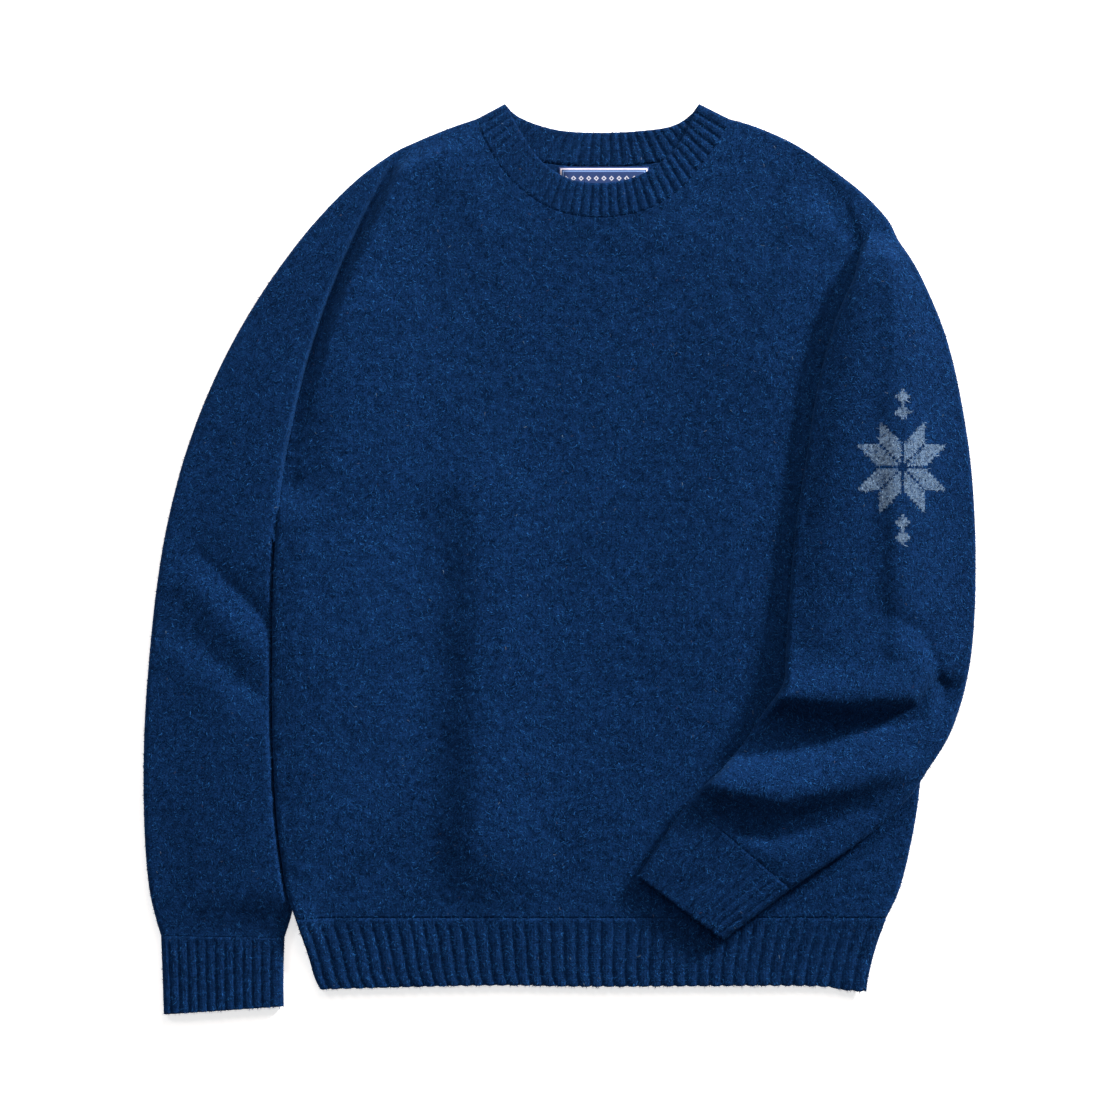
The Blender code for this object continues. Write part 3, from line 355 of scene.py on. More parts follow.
def bowed(start, end, bow, t, away=0.0):
    """Points from start to end, bowed to the left of that way, and moved away to that side."""
    start = np.asarray(start, float)
    run = np.asarray(end, float) - start
    left = np.array([-run[1], run[0]]) / np.linalg.norm(run)
    t = np.asarray(t, float)[..., None]
    return start + run * t + left * (bow * 4.0 * t * (1.0 - t) + away)


def stretches(cuts, curves, t):
    """One edge made of several curves, each over its own stretch between the cuts."""
    t = np.asarray(t, float)
    points = np.zeros(t.shape + (2,))
    for low, high, curve in zip(cuts[:-1], cuts[1:], curves):
        inside = (t >= low) & (t <= high)
        points[inside] = curve((t[inside] - low) / (high - low))
    return points


def distance(x, y, outline):
    """Distance from an outline on the plan, below zero inside it."""
    start = np.asarray(outline, float)
    end = np.roll(start, -1, axis=0)
    run = end - start
    square = np.maximum((run ** 2).sum(axis=1), 1e-9)
    px = np.asarray(x, float)[..., None] - start[:, 0]
    py = np.asarray(y, float)[..., None] - start[:, 1]
    t = np.clip((px * run[:, 0] + py * run[:, 1]) / square, 0.0, 1.0)
    gap = np.hypot(px - t * run[:, 0], py - t * run[:, 1]).min(axis=-1)
    spans = (py < 0.0) != (py < run[:, 1])
    rise = np.where(run[:, 1] == 0.0, 1.0, run[:, 1])
    crossings = (spans & (px < py * run[:, 0] / rise)).sum(axis=-1)
    return np.where(crossings % 2 == 1, -gap, gap)


def to_line(x, y, line):
    """Distance from a line, its sign to the left as 1 and to the right as -1, and share along it."""
    line = np.asarray(line, float)
    nearest = np.full(np.shape(x), np.inf)
    side = np.zeros(np.shape(x))
    share = np.zeros(np.shape(x))
    for k, (start, end) in enumerate(zip(line[:-1], line[1:])):
        run = end - start
        length = np.linalg.norm(run)
        t = np.clip(((x - start[0]) * run[0] + (y - start[1]) * run[1]) / length ** 2, 0.0, 1.0)
        off_x = x - start[0] - t * run[0]
        off_y = y - start[1] - t * run[1]
        gap = np.hypot(off_x, off_y)
        to_left = (run[0] * off_y - run[1] * off_x) / length
        closer = gap < nearest
        side = np.where(closer, to_left / np.maximum(gap, 1e-6), side)
        share = np.where(closer, (k + t) / (len(line) - 1), share)
        nearest = np.minimum(nearest, gap)
    return nearest, side, share


def folds(table, x, y):
    """Height that the folds of a table add at each place."""
    height = np.zeros(np.shape(x))
    for line, left, right, start, end in table:
        gap, side, share = to_line(x, y, line)
        width = right + (left - right) * (0.5 + 0.5 * side)
        size = start + (end - start) * share
        if start > 0.0:
            height += size * np.exp(-(gap / width) ** 2)
        else:
            height += size * np.exp((CREASE_SOFT - np.hypot(gap, CREASE_SOFT)) / width)
    return height


# Outlines on the plan

# Shares of the way up the left and the right edge at which each armhole starts
UNDERARM = 0.544
SLEEVE_POINT = 0.872

# Shares of the way across the upper edge between which the neck lies
NECK_LEFT = 0.17
NECK_RIGHT = 0.81


def left_edge(v):
    """Left edge of the body from the hem's seam to the shoulder."""
    side = LEFT_SIDE[HEM_TOP:]
    return stretches((0.0, UNDERARM, 1.0),
                     (lambda t: along(side, t), lambda t: bowed(*LEFT_ARMHOLE, t)), v)


def right_edge(v):
    """Right edge of the body from the hem's seam to the shoulder."""
    side = RIGHT_SIDE[HEM_TOP:]
    start, end, bow = RIGHT_ARMHOLE
    return stretches((0.0, SLEEVE_POINT, 1.0),
                     (lambda t: along(side, t), lambda t: bowed(start, end, -bow, t)), v)


def seam_points(neck, steps):
    """Corners of the neck seam, which the body and the band share."""
    return along(np.asarray(neck)[:, :2], np.linspace(0.0, 1.0, steps + 1))


def straight(points, t):
    """Straight runs between evenly numbered points."""
    place = np.linspace(0.0, 1.0, len(points))
    return np.stack([np.interp(t, place, points[:, k]) for k in range(2)], axis=-1)


def top_edge(u, neck, steps):
    """Upper edge of a body panel: shoulder, neck seam, shoulder."""
    corners = seam_points(neck, steps)
    return stretches((0.0, NECK_LEFT, NECK_RIGHT, 1.0),
                     (lambda t: along(LEFT_SHOULDER, t),
                      lambda t: straight(corners, t),
                      lambda t: along(RIGHT_SHOULDER, t)), u)


def body_plan(u, v, neck, steps):
    """Place on the plan of a body panel: u from left to right, v from the hem's seam up."""
    low_left = np.asarray(LEFT_SIDE[HEM_TOP], float)
    low_right = np.asarray(RIGHT_SIDE[HEM_TOP], float)
    high_left = np.asarray(LEFT_SHOULDER[0], float)
    high_right = np.asarray(RIGHT_SHOULDER[-1], float)
    top = top_edge(u, neck, steps)
    left = left_edge(v)
    right = right_edge(v)
    u = u[..., None]
    v = v[..., None]
    bottom = (1 - u) * low_left + u * low_right
    corners = ((1 - v) * bottom + v * ((1 - u) * high_left + u * high_right))
    return (1 - v) * bottom + v * top + (1 - u) * left + u * right - corners


def hem_plan(u, v):
    """Place on the plan of the hem: u from left to right, v from its seam down."""
    left = along(LEFT_SIDE[HEM_TOP::-1], v)
    right = along(RIGHT_SIDE[HEM_TOP::-1], v)
    low = along(HEM_LOW, u)
    u = u[..., None]
    v = v[..., None]
    line = (1 - u) * np.asarray(HEM_LOW[0], float) + u * np.asarray(HEM_LOW[-1], float)
    return (1 - u) * left + u * right + v * (low - line)


def tube_outline(table, steps=60):
    """Outline on the plan of a sleeve."""
    rows = smooth(table, np.linspace(0.0, 1.0, steps + 1))
    return np.concatenate([rows[:, 0:2], rows[::-1, 2:4]])


def body_outline(steps=60):
    """Outline on the plan of the body with its hem."""
    t = np.linspace(0.0, 1.0, steps + 1)
    return np.concatenate([
        along(HEM_LOW, t),
        along(RIGHT_SIDE[:HEM_TOP + 1], t),
        right_edge(t),
        top_edge(t[::-1], NECK_BACK, 12),
        left_edge(t[::-1]),
        along(LEFT_SIDE[:HEM_TOP + 1], t[::-1]),
    ])


SLEEVE_RIGHT_OUTLINE = tube_outline(SLEEVE_RIGHT)
SLEEVE_LEFT_OUTLINE = tube_outline(SLEEVE_LEFT + CUFF_LEFT[1:])
BODY_OUTLINE = body_outline()
CUFF_LEFT_OUTLINE = tube_outline(CUFF_LEFT, 8)


# Heights


def lift(x, y, reach=0.0):
    """Height by which the body rides over the sleeve that runs under its left side."""
    beyond = distance(x, y, SLEEVE_RIGHT_OUTLINE)
    near, far = BODY_DROP
    far = far + reach * ease(*TENT_GROWS, y)
    return UNDER_SLEEVE * (1.0 - ease(near, far, beyond)) * (1.0 - ease(*SHOULDER_DROP, y))


def looseness(x, y):
    """How far the front layer stands off the back layer, beyond a seam's gap."""
    across = (x - NECK_RISE_PLACE[0]) / NECK_RISE_SPREAD[0]
    up = (y - NECK_RISE_PLACE[1]) / NECK_RISE_SPREAD[1]
    neck = NECK_RISE * np.exp(-across ** 2 - up ** 2)
    inward = x - left_edge_x(y)
    puff = PUFF_LOW + (PUFF_HIGH - PUFF_LOW) * ease(*PUFF_GROWS, y)
    puff = puff * ease(0.0, PUFF_RISE, inward) * np.exp(-(inward / PUFF_WIDE) ** 2)
    puff = puff * ease(*PUFF_FOOT, y)
    underarm = UNDER_SLEEVE * ease(*SHOULDER_DROP, y) * (1.0 - ease(*UNDERARM_ENDS, y))
    underarm = underarm * ease(0.0, UNDERARM_RISE, inward) * np.exp(-(inward / UNDERARM_WIDE) ** 2)
    loose = LEAST_LOOSE + neck + puff + underarm + folds(BODY_FOLDS, x, y)
    return np.clip(loose, 0.0, LOOSEST) * clear_of_sleeve(x, y) * ease(*FRONT_FOOT, y)


def clear_of_sleeve(x, y):
    """Falls to nothing where the folded sleeve lies on the front."""
    return ease(*PRESSED, distance(x, y, SLEEVE_LEFT_OUTLINE))


def left_edge_x(y):
    """X of the body's left edge at a height on the plan."""
    edge = left_edge(np.linspace(0.0, 1.0, 90))
    return np.interp(y, edge[:, 1], edge[:, 0])


def rounded(gap, share):
    """Share of a layer's height at a distance from an edge that is rounded by its share."""
    t = 1.0 - np.clip(gap / EDGE, 0.0, 1.0)
    return 1.0 - share * (1.0 - np.sqrt(1.0 - t * t))


# Closed walls


def panel_rim(rows, columns, u, v):
    """Numbers and places of a panel's rim, once round from its lower left corner."""
    rim = [(j, u[j]) for j in range(columns - 1)]
    rim += [(i * columns + columns - 1, 1.0 + v[i]) for i in range(rows - 1)]
    rim += [((rows - 1) * columns + j, 3.0 - u[j]) for j in range(columns - 1, 0, -1)]
    rim += [(i * columns, 4.0 - v[i]) for i in range(rows - 1, 0, -1)]
    return rim


def stitch(outer, inner, total):
    """Faces between two closed rims, each a list of point numbers and places round the rim."""
    faces = []
    outer = outer + [(outer[0][0], total)]
    inner = inner + [(inner[0][0], total)]
    i = 0
    j = 0
    while i < len(outer) - 1 or j < len(inner) - 1:
        turn_outer = j == len(inner) - 1 or (
            i < len(outer) - 1 and outer[i + 1][1] < inner[j + 1][1])
        if turn_outer:
            faces.append((outer[i][0], outer[i + 1][0], inner[j][0]))
            i += 1
        else:
            faces.append((outer[i][0], inner[j + 1][0], inner[j][0]))
            j += 1
    return faces


def panel_points(u_list, v_list, neck, steps, inset):
    """Plan of a skin and the share of rounding at each edge, drawn in by its inset there."""
    u, v = np.meshgrid(u_list, v_list)
    round_left = 1.0 - ease(UNDERARM - 0.045, UNDERARM, v)
    round_right = 1.0 - ease(SLEEVE_POINT - 0.05, SLEEVE_POINT, v)
    on_neck = (u > NECK_LEFT + 0.001) & (u < NECK_RIGHT - 0.001)
    round_top = np.where(on_neck, 0.0, 1.0)
    width = np.linalg.norm(right_edge(v) - left_edge(v), axis=-1)
    inset_top = np.where(on_neck, min(inset, 2.0), inset) / PANEL_TALL
    low = inset * round_left / width
    high = 1.0 - inset * round_right / width
    u_in = low + u * (high - low)
    v_in = v * (1.0 - inset_top)
    plan = body_plan(u_in, v_in, neck, steps)
    gap_left = np.linalg.norm(plan - body_plan(0.0 * u_in, v_in, neck, steps), axis=-1)
    gap_right = np.linalg.norm(plan - body_plan(0.0 * u_in + 1.0, v_in, neck, steps), axis=-1)
    gap_top = np.linalg.norm(plan - body_plan(u_in, 0.0 * v_in + 1.0, neck, steps), axis=-1)
    share = rounded(gap_left, round_left) * rounded(gap_right, round_right)
    share = share * rounded(gap_top, round_top)
    return plan[..., 0], plan[..., 1], share


def free_of_edges(x, y):
    """Rises from nothing at the closed edges of the body, where the two layers meet."""
    t = np.linspace(0.0, 1.0, 41)
    closed = [left_edge(t * UNDERARM), along(LEFT_SHOULDER, t), along(RIGHT_SHOULDER, t),
              right_edge(t)]
    gaps = [to_line(x, y, line)[0] for line in closed]
    return ease(0.0, CLOSED_EDGE, np.minimum.reduce(gaps))


def front_heights(x, y, share, skin):
    """Heights of the front panel's upper or lower skin."""
    under = LAYER + lift(x, y, TENT) + looseness(x, y) * free_of_edges(x, y)
    return under + (CLOTH * share if skin == "upper" else 0.0)


def band_grid(plan, u_list, v_list, inset):
    """Plan of a band's skin and its distance from both ends."""
    u, v = np.meshgrid(u_list, v_list)
    length = np.linalg.norm(plan(0.0 * u + 1.0, v) - plan(0.0 * u, v), axis=-1)
    u_in = inset / length + u * (1.0 - 2.0 * inset / length)
    points = plan(u_in, v)
    ends = np.minimum(np.linalg.norm(points - plan(0.0 * u, v), axis=-1),
                      np.linalg.norm(points - plan(0.0 * u + 1.0, v), axis=-1))
    return points[..., 0], points[..., 1], ends


def neck_plan(neck, steps):
    """Plan of a neckband: u from shoulder to shoulder, v from its seam to its free edge."""
    corners = seam_points(neck, steps)
    edge = np.asarray(neck)[:, 2:4]
    seam = SEAM / NECK_DEEP

    def plan(u, v):
        start = straight(corners, u)
        end = along(edge, u)
        across = (seam + v * (1.0 - seam))[..., None]
        return start + (end - start) * across

    return plan


def knee_stations(row, count):
    """Stations of a ring's underside, with one where it leaves the body and one on the ground."""
    even = np.linspace(0.0, 1.0, count)
    start = row[0:2]
    run = row[2:4] - start
    width = np.linalg.norm(run) - 2 * EDGE
    fine = np.linspace(0.0, 1.0, 200)
    place = start + run * (EDGE + fine[:, None] * width) / (width + 2 * EDGE)
    over = fine[distance(place[:, 0], place[:, 1], BODY_OUTLINE) < DROP[0]]
    knee = np.clip(over.max() if len(over) else 0.0, 0.10, 0.90)
    foot = min(knee + (DROP[1] - DROP[0]) / width, 0.5 * (knee + 1.0))
    low = np.linspace(0.0, knee, count - count // 2)
    high = np.linspace(foot, 1.0, count // 2 - 1)
    kneed = np.concatenate([low, [0.5 * (knee + foot)], high])
    return even + (kneed - even) * ease(*RISE, row[-1])


def slant(rows, first):
    """How much longer a width is along each section than square to the tube's edge there."""
    run = rows[:, 2:4] - rows[:, 0:2]
    travel = np.gradient(rows[:, first:first + 2], axis=0)
    cross = np.abs(run[:, 0] * travel[:, 1] - run[:, 1] * travel[:, 0])
    square = cross / (np.linalg.norm(run, axis=1) * np.linalg.norm(travel, axis=1))
    return 1.0 / np.clip(square, 1.0 / MOST_SLANT, 1.0)


def round_side(low, high, sine):
    """Heights round the side of a tube between its lower and its upper corner."""
    return 0.5 * (low + high) + 0.5 * (high - low) * sine


def ring_skin(rows, stations_top, stations_bottom, angles, edge, heights, knee=False):
    """Rings of points for one skin of a flattened tube."""
    rings = []
    for row, ahead, near_slant, far_slant in zip(
            rows, forward_sides(rows), slant(rows, 0), slant(rows, 2)):
        start = row[0:2]
        run = row[2:4] - start
        width = np.linalg.norm(run)
        near_edge = EDGE * near_slant
        flat_width = width - near_edge - EDGE * far_slant
        sine = np.sin(np.radians(angles))
        cosine = np.cos(np.radians(angles))
        below = knee_stations(row, len(stations_bottom)) if knee else stations_bottom
        flat_bottom = near_edge + below * flat_width
        flat_top = near_edge + stations_top * flat_width
        far = width - far_slant * (EDGE - edge * cosine)
        near = near_slant * (EDGE - edge * cosine)
        s = np.concatenate([flat_bottom, far, flat_top[::-1], near[::-1]]) / width
        plan = start + run * s[:, None] + ahead * (row[4] * 4.0 * s * (1.0 - s))[:, None]
        low, high = heights(plan[:, 0], plan[:, 1], s, row)
        n_low = len(flat_bottom)
        n_arc = len(angles)
        n_top = len(flat_top)
        z = np.empty(len(s))
        z[:n_low] = low[:n_low]
        z[n_low + n_arc:n_low + n_arc + n_top] = high[n_low + n_arc:n_low + n_arc + n_top]
        z[n_low:n_low + n_arc] = round_side(low[n_low - 1], high[n_low + n_arc], sine)
        z[n_low + n_arc + n_top:] = round_side(low[0], high[n_low + n_arc + n_top - 1], sine[::-1])
        rings.append(np.column_stack([plan, z]))
    return np.array(rings)


def ring_numbers(stations_top, stations_bottom, angles):
    """Places round the ring of each of its points, for joining two skins."""
    share = (angles + 90.0) / 180.0
    return np.concatenate([stations_bottom * 0.98, 1.0 + share * 0.98,
                           2.0 + stations_top * 0.98, 3.0 + share * 0.98])


def forward_sides(rows):
    """Direction on the plan in which the sleeve runs, square to each section."""
    run = rows[:, 2:4] - rows[:, 0:2]
    square = np.column_stack([-run[:, 1], run[:, 0]])
    square /= np.linalg.norm(square, axis=1)[:, None]
    middle = 0.5 * (rows[:, 0:2] + rows[:, 2:4])
    travel = np.gradient(middle, axis=0)
    side = np.sign((square * travel).sum(axis=1).mean())
    return square * side


def on_ground(x, y, row):
    """Ground under the sleeve that lies beside the body."""
    return np.zeros(np.shape(x))


def on_body(x, y, row):
    """Ground under the folded sleeve: the front panel, and the floor beyond the body's edge."""
    over = 1.0 - ease(*DROP, distance(x, y, BODY_OUTLINE))
    return OVER_BODY * over * ease(*RISE, row[-1])


def on_front(x, y, row):
    """Ground under the folded cuff."""
    return np.full(np.shape(x), OVER_BODY)


# Fine relief of the brushed face

# Points each way of the random grid, after which it repeats
LATTICE = 211

# Patches by strength, size, turn in degrees and seed: the face's relief in millimetres, the way that
# the fibres lie in degrees, and their tone
LUMPS = [(0.24, 4.5, 20.0, 1), (0.20, 8.0, 50.0, 2)]
FLOW_PATCHES = [(70.0, 34.0, 35.0, 11), (30.0, 12.0, 10.0, 12)]
TONE_PATCHES = [(0.035, 7.0, 30.0, 21), (0.02, 45.0, 60.0, 22)]

# Share of that relief on the sleeves and on the neckband
SLEEVE_LUMPS = 0.6
NECK_LUMPS = 0.4


def patches(x, y, size, turn, seed):
    """Soft random relief from -1 to 1, in lumps of the given size on a grid turned by some degrees."""
    lattice = np.random.default_rng(seed).uniform(-1.0, 1.0, (LATTICE, LATTICE))
    cosine = np.cos(np.radians(turn)) / size
    sine = np.sin(np.radians(turn)) / size
    across = x * cosine - y * sine
    along_it = x * sine + y * cosine
    i = np.floor(across).astype(int)
    j = np.floor(along_it).astype(int)
    f = ease(0.0, 1.0, across - i)
    g = ease(0.0, 1.0, along_it - j)
    low = lattice[i % LATTICE, j % LATTICE] * (1 - f) + lattice[(i + 1) % LATTICE, j % LATTICE] * f
    j = j + 1
    high = lattice[i % LATTICE, j % LATTICE] * (1 - f) + lattice[(i + 1) % LATTICE, j % LATTICE] * f
    return low * (1 - g) + high * g


def uneven(table, x, y, start=0.0):
    """Start value with the patches of a table added."""
    total = start
    for strength, size, turn, seed in table:
        total = total + strength * patches(x, y, size, turn, seed)
    return total


def lumps(x, y):
    """Felted unevenness of the brushed face."""
    return uneven(LUMPS, x, y)


# Cloth meshes

# Number of points in each piece's outer skin, by its name
OUTER_POINTS = {}


def skin_faces(rows, columns, first, around):
    """Faces of a grid of points, closed round its rows where it goes around."""
    i, j = np.meshgrid(np.arange(rows - 1), np.arange(columns if around else columns - 1),
                       indexing="ij")
    k = (j + 1) % columns
    row = first + i * columns
    faces = np.stack([row + j, row + k, row + columns + k, row + columns + j], axis=-1)
    return faces.reshape(-1, 4).tolist()


def make_cloth(name, skins, faces, material, turn=0.0):
    """Closed cloth mesh from its skins, each a grid of points and a grid of places on the cloth."""
    points = np.concatenate([grid.reshape(-1, 3) for grid, cloth in skins])
    places = np.concatenate([cloth.reshape(-1, 2) for grid, cloth in skins])
    mesh = bpy.data.meshes.new(name)
    mesh.from_pydata(((points - (*MIDDLE, 0.0)) * METRE).tolist(), [], faces)
    work = bmesh.new()
    work.from_mesh(mesh)
    bmesh.ops.recalc_face_normals(work, faces=work.faces)
    if work.calc_volume(signed=True) < 0.0:
        bmesh.ops.reverse_faces(work, faces=work.faces)
    work.to_mesh(mesh)
    work.free()
    corner = np.empty(len(mesh.loops), np.int32)
    mesh.loops.foreach_get("vertex_index", corner)
    starts = np.empty(len(mesh.polygons), np.int32)
    mesh.polygons.foreach_get("loop_start", starts)
    uv = places[corner]
    if turn:
        widest = np.maximum.reduceat(uv[:, 0], starts)
        counts = np.diff(np.append(starts, len(corner)))
        uv[:, 0] += turn * (np.repeat(widest, counts) - uv[:, 0] > 0.5 * turn)
    mesh.uv_layers.new(name="cloth").data.foreach_set("uv", uv.astype(np.float32).ravel())
    mesh.shade_smooth()
    mesh.materials.append(material)
    piece = bpy.data.objects.new(name, mesh)
    bpy.context.scene.collection.objects.link(piece)
    OUTER_POINTS[name] = skins[0][0].shape[0] * skins[0][0].shape[1]
    return piece


def panel_cloth(name, outer, inner, material):
    """Wall between two open skins, each given as points, u stations and v stations."""
    faces = []
    rims = []
    skins = []
    first = 0
    for grid, u, v in (outer, inner):
        rows, columns = grid.shape[:2]
        faces += skin_faces(rows, columns, first, around=False)
        rims.append([(first + k, place) for k, place in panel_rim(rows, columns, u, v)])
        skins.append((grid, grid[..., :2]))
        first += rows * columns
    faces += stitch(rims[0], rims[1], 4.0)
    return make_cloth(name, skins, faces, material)


def round_the_tube(rings):
    """Places on the cloth of a tube's points: way round the ring and way down the tube."""
    steps = np.linalg.norm(np.diff(rings, axis=1), axis=-1)
    around = np.concatenate([np.zeros((len(rings), 1)), np.cumsum(steps, axis=1)], axis=1)
    middles = rings.mean(axis=1)
    down = np.concatenate([[0.0], np.cumsum(np.linalg.norm(np.diff(middles, axis=0), axis=1))])
    return np.stack([around, -np.repeat(down[:, None], rings.shape[1], axis=1)], axis=-1)


def tube_cloth(name, outer, inner, material):
    """Wall of an open tube, each skin given as rings of points and their places round the ring."""
    faces = []
    ends = []
    skins = []
    first = 0
    for rings, place in (outer, inner):
        rows, columns = rings.shape[:2]
        faces += skin_faces(rows, columns, first, around=True)
        ends.append([[(first + row * columns + k, place[k]) for k in range(columns)]
                     for row in (0, rows - 1)])
        skins.append((rings, round_the_tube(rings)))
        first += rows * columns
    for end in (0, 1):
        faces += stitch(ends[0][end], ends[1][end], 4.0)
    turn = skins[0][1][..., 0].max()
    return make_cloth(name, skins, faces, material, turn)


# Body panels


def stations(*runs):
    """Stations from 0 to 1: each run gives its end and its number of steps."""
    places = [0.0]
    for end, steps in runs:
        places += np.linspace(places[-1], end, steps + 1)[1:].tolist()
    return np.array(places)


# Stations beside a rounded edge, and corners of the neck seam
EDGE_NEAR = (0.0, 0.0008, 0.0024, 0.005, 0.0088)
NECK_STEPS = 160


def with_edges(places, low=True, high=True):
    """Stations with more beside each rounded edge."""
    places = list(places)
    if low:
        places = [*EDGE_NEAR, *[p for p in places if p > 0.011]]
    if high:
        places = [*[p for p in places if p < 0.989], *[1.0 - p for p in EDGE_NEAR[::-1]]]
    return np.array(places)


FINE_U = with_edges(stations((NECK_LEFT, 40), (NECK_RIGHT, 148), (1.0, 44)))
FINE_V = with_edges(stations((UNDERARM, 146), (SLEEVE_POINT, 88), (1.0, 36)), low=False)
COARSE_U = with_edges(stations((NECK_LEFT, 10), (NECK_RIGHT, 36), (1.0, 10)))
COARSE_V = with_edges(stations((UNDERARM, 24), (SLEEVE_POINT, 14), (1.0, 8)), low=False)


def make_front():
    """Front of the body, felted and brushed."""
    x, y, share = panel_points(FINE_U, FINE_V, NECK_FRONT, NECK_STEPS, 0.0)
    z = front_heights(x, y, share, "upper") + lumps(x, y) * share * clear_of_sleeve(x, y)
    upper = np.stack([x, y, z], axis=-1)
    x, y, share = panel_points(COARSE_U, COARSE_V, NECK_FRONT, NECK_STEPS, CLOTH)
    lower = np.stack([x, y, front_heights(x, y, share, "lower")], axis=-1)
    return panel_cloth("front_panel", (upper, FINE_U, FINE_V), (lower, COARSE_U, COARSE_V), WOOL)


def make_back():
    """Back of the body: its face lies flat on the ground and its inside shows in the neck."""
    x, y, share = panel_points(COARSE_U, COARSE_V, NECK_BACK, NECK_STEPS, 0.0)
    lower = np.stack([x, y, lift(x, y) + CLOTH * (1.0 - share)], axis=-1)
    x, y, share = panel_points(COARSE_U, COARSE_V, NECK_BACK, NECK_STEPS, CLOTH)
    upper = np.stack([x, y, lift(x, y) + CLOTH], axis=-1)
    return panel_cloth("back_panel", (lower, COARSE_U, COARSE_V), (upper, COARSE_U, COARSE_V), WOOL)


# Ribbed bands

# Points across a rib, depth of a groove, how narrow it is and where in the pitch it lies
RIB_POINTS = 10
RIB_FINE = 1.35
RIB_NARROW = 1.4
GROOVE = 0.5 + 0.5 * RIDGE

# Shares of a band's depth over which its ribs grow below the seam
HEM_RIBS_GROW = (-0.02, 0.20)
CUFF_RIBS_GROW = (-0.02, 0.25)

# Distances from the neckband's ends over which its ribs grow
NECK_RIBS_GROW = (1.0, 8.0)

# Free edges: how far in the cloth turns over, how far it drops, and that drop's share on the back
# hem; and how far the hem's ridges stand out below its grooves
TURN = 2.6
TURN_DROP = 1.3
BACK_TURN = 0.8
SCALLOP = 0.9


def ribbing(u, ribs):
    """Depth of the grooves across ribs, each rib round and each groove narrow."""
    return RIB_FINE * (1.0 - np.abs(np.sin(np.pi * (u * ribs - GROOVE)))) ** RIB_NARROW


def rib_fine(ribs, edge):
    """Stations across the ribs, closer at both rounded ends."""
    places = np.linspace(0.0, 1.0, ribs * RIB_POINTS + 1)
    inside = places[(places > 1.2 * edge) & (places < 1.0 - 1.2 * edge)]
    near = np.array([0.0, 0.08, 0.25, 0.5, 1.0]) * edge
    return np.concatenate([near, inside, 1.0 - near[::-1]])


def turned_over(v, length):
    """How far the cloth's face drops as it turns over its free edge at v = 1."""
    t = np.clip(1.0 - (1.0 - v) * length / TURN, 0.0, 1.0)
    return TURN_DROP * (1.0 - np.sqrt(1.0 - t * t))


def down_to_edge(steps, length):
    """Stations down a band, closer where it turns over its free edge."""
    last = np.array([1.0, 0.8, 0.6, 0.4, 0.22, 0.1, 0.03, 0.0]) * TURN / length
    return np.concatenate([np.linspace(0.0, 1.0 - TURN / length, steps + 1)[:-1], 1.0 - last])


def make_hems():
    """Ribbed hem, front and back."""
    seam = SEAM / HEM_DEEP

    def plan(u, v):
        return hem_plan(u, seam + v * (1.0 - seam))

    places = rib_fine(HEM_RIBS, EDGE / HEM_WIDE)
    v_list = down_to_edge(16, HEM_DEEP)
    u, v = np.meshgrid(places, v_list)
    x, y, ends = band_grid(plan, places, v_list, 0.0)
    share = rounded(ends, 1.0)
    grooves = ribbing(u, HEM_RIBS) * ease(*HEM_RIBS_GROW, v)
    y = y - SCALLOP * (1.0 - grooves / RIB_FINE) * ease(0.9, 1.0, v)
    felted = (1.0 - 0.5 * ease(0.0, 0.25, v)) * lumps(x, y)
    face = CLOTH - grooves - turned_over(v, HEM_DEEP) + felted
    upper = np.stack([x, y, lift(x, y) + LAYER + face * share], axis=-1)
    coarse = np.linspace(0.0, 1.0, HEM_RIBS + 1)
    v_in = np.linspace(0.0, 1.0, 5)
    x, y, ends = band_grid(plan, coarse, v_in, CLOTH)
    inside = np.stack([x, y, lift(x, y) + LAYER], axis=-1)
    front = panel_cloth("front_hem", (upper, places, v_list), (inside, coarse, v_in), RIBBED)
    inside = np.stack([x, y, lift(x, y) + CLOTH], axis=-1)
    v_list = down_to_edge(8, HEM_DEEP)
    x, y, ends = band_grid(plan, coarse, v_list, 0.0)
    z = lift(x, y) + CLOTH * (1.0 - rounded(ends, 1.0))
    v = np.meshgrid(coarse, v_list)[1]
    lower = np.stack([x, y, z + BACK_TURN * turned_over(v, HEM_DEEP)], axis=-1)
    back = panel_cloth("back_hem", (lower, coarse, v_list), (inside, coarse, v_in), RIBBED)
    return front, back


def make_neckband(name, neck, ribs, length, front):
    """Half of the ribbed neckband."""
    plan = neck_plan(neck, NECK_STEPS)
    places = rib_fine(ribs, EDGE / length)
    v_list = down_to_edge(9, NECK_DEEP)
    u, v = np.meshgrid(places, v_list)
    x, y, ends = band_grid(plan, places, v_list, 0.0 if front else CLOTH)
    share = rounded(ends, 1.0)
    face = ribbing(u, ribs) + turned_over(v, NECK_DEEP)
    inner_part = ease(*NECK_RIBS_GROW, ends)
    face = CLOTH - face * inner_part + NECK_LUMPS * lumps(x, y) * inner_part
    if front:
        under = LAYER + looseness(x, y) * ease(0.0, CLOSED_EDGE, ends)
        outer = np.stack([x, y, under + face * share], axis=-1)
    else:
        outer = np.stack([x, y, face], axis=-1)
    coarse = np.linspace(0.0, 1.0, ribs + 1)
    v_in = np.linspace(0.0, 1.0, 3)
    x, y, ends = band_grid(plan, coarse, v_in, CLOTH if front else 0.0)
    if front:
        z = LAYER + looseness(x, y) * ease(0.0, CLOSED_EDGE, ends)
    else:
        z = CLOTH * (1.0 - rounded(ends, 1.0))
    inner = np.stack([x, y, z], axis=-1)
    return panel_cloth(name, (outer, places, v_list), (inner, coarse, v_in), RIBBED)


# Sleeves

# Angles in degrees round a tube's rounded sides, outside and inside
ARC = np.linspace(-78.0, 78.0, 9)
COARSE_ARC = np.array([-50.0, 0.0, 50.0])

# Points across the underside of a sleeve and of a cuff
SLEEVE_UNDER = 14
CUFF_UNDER = 9


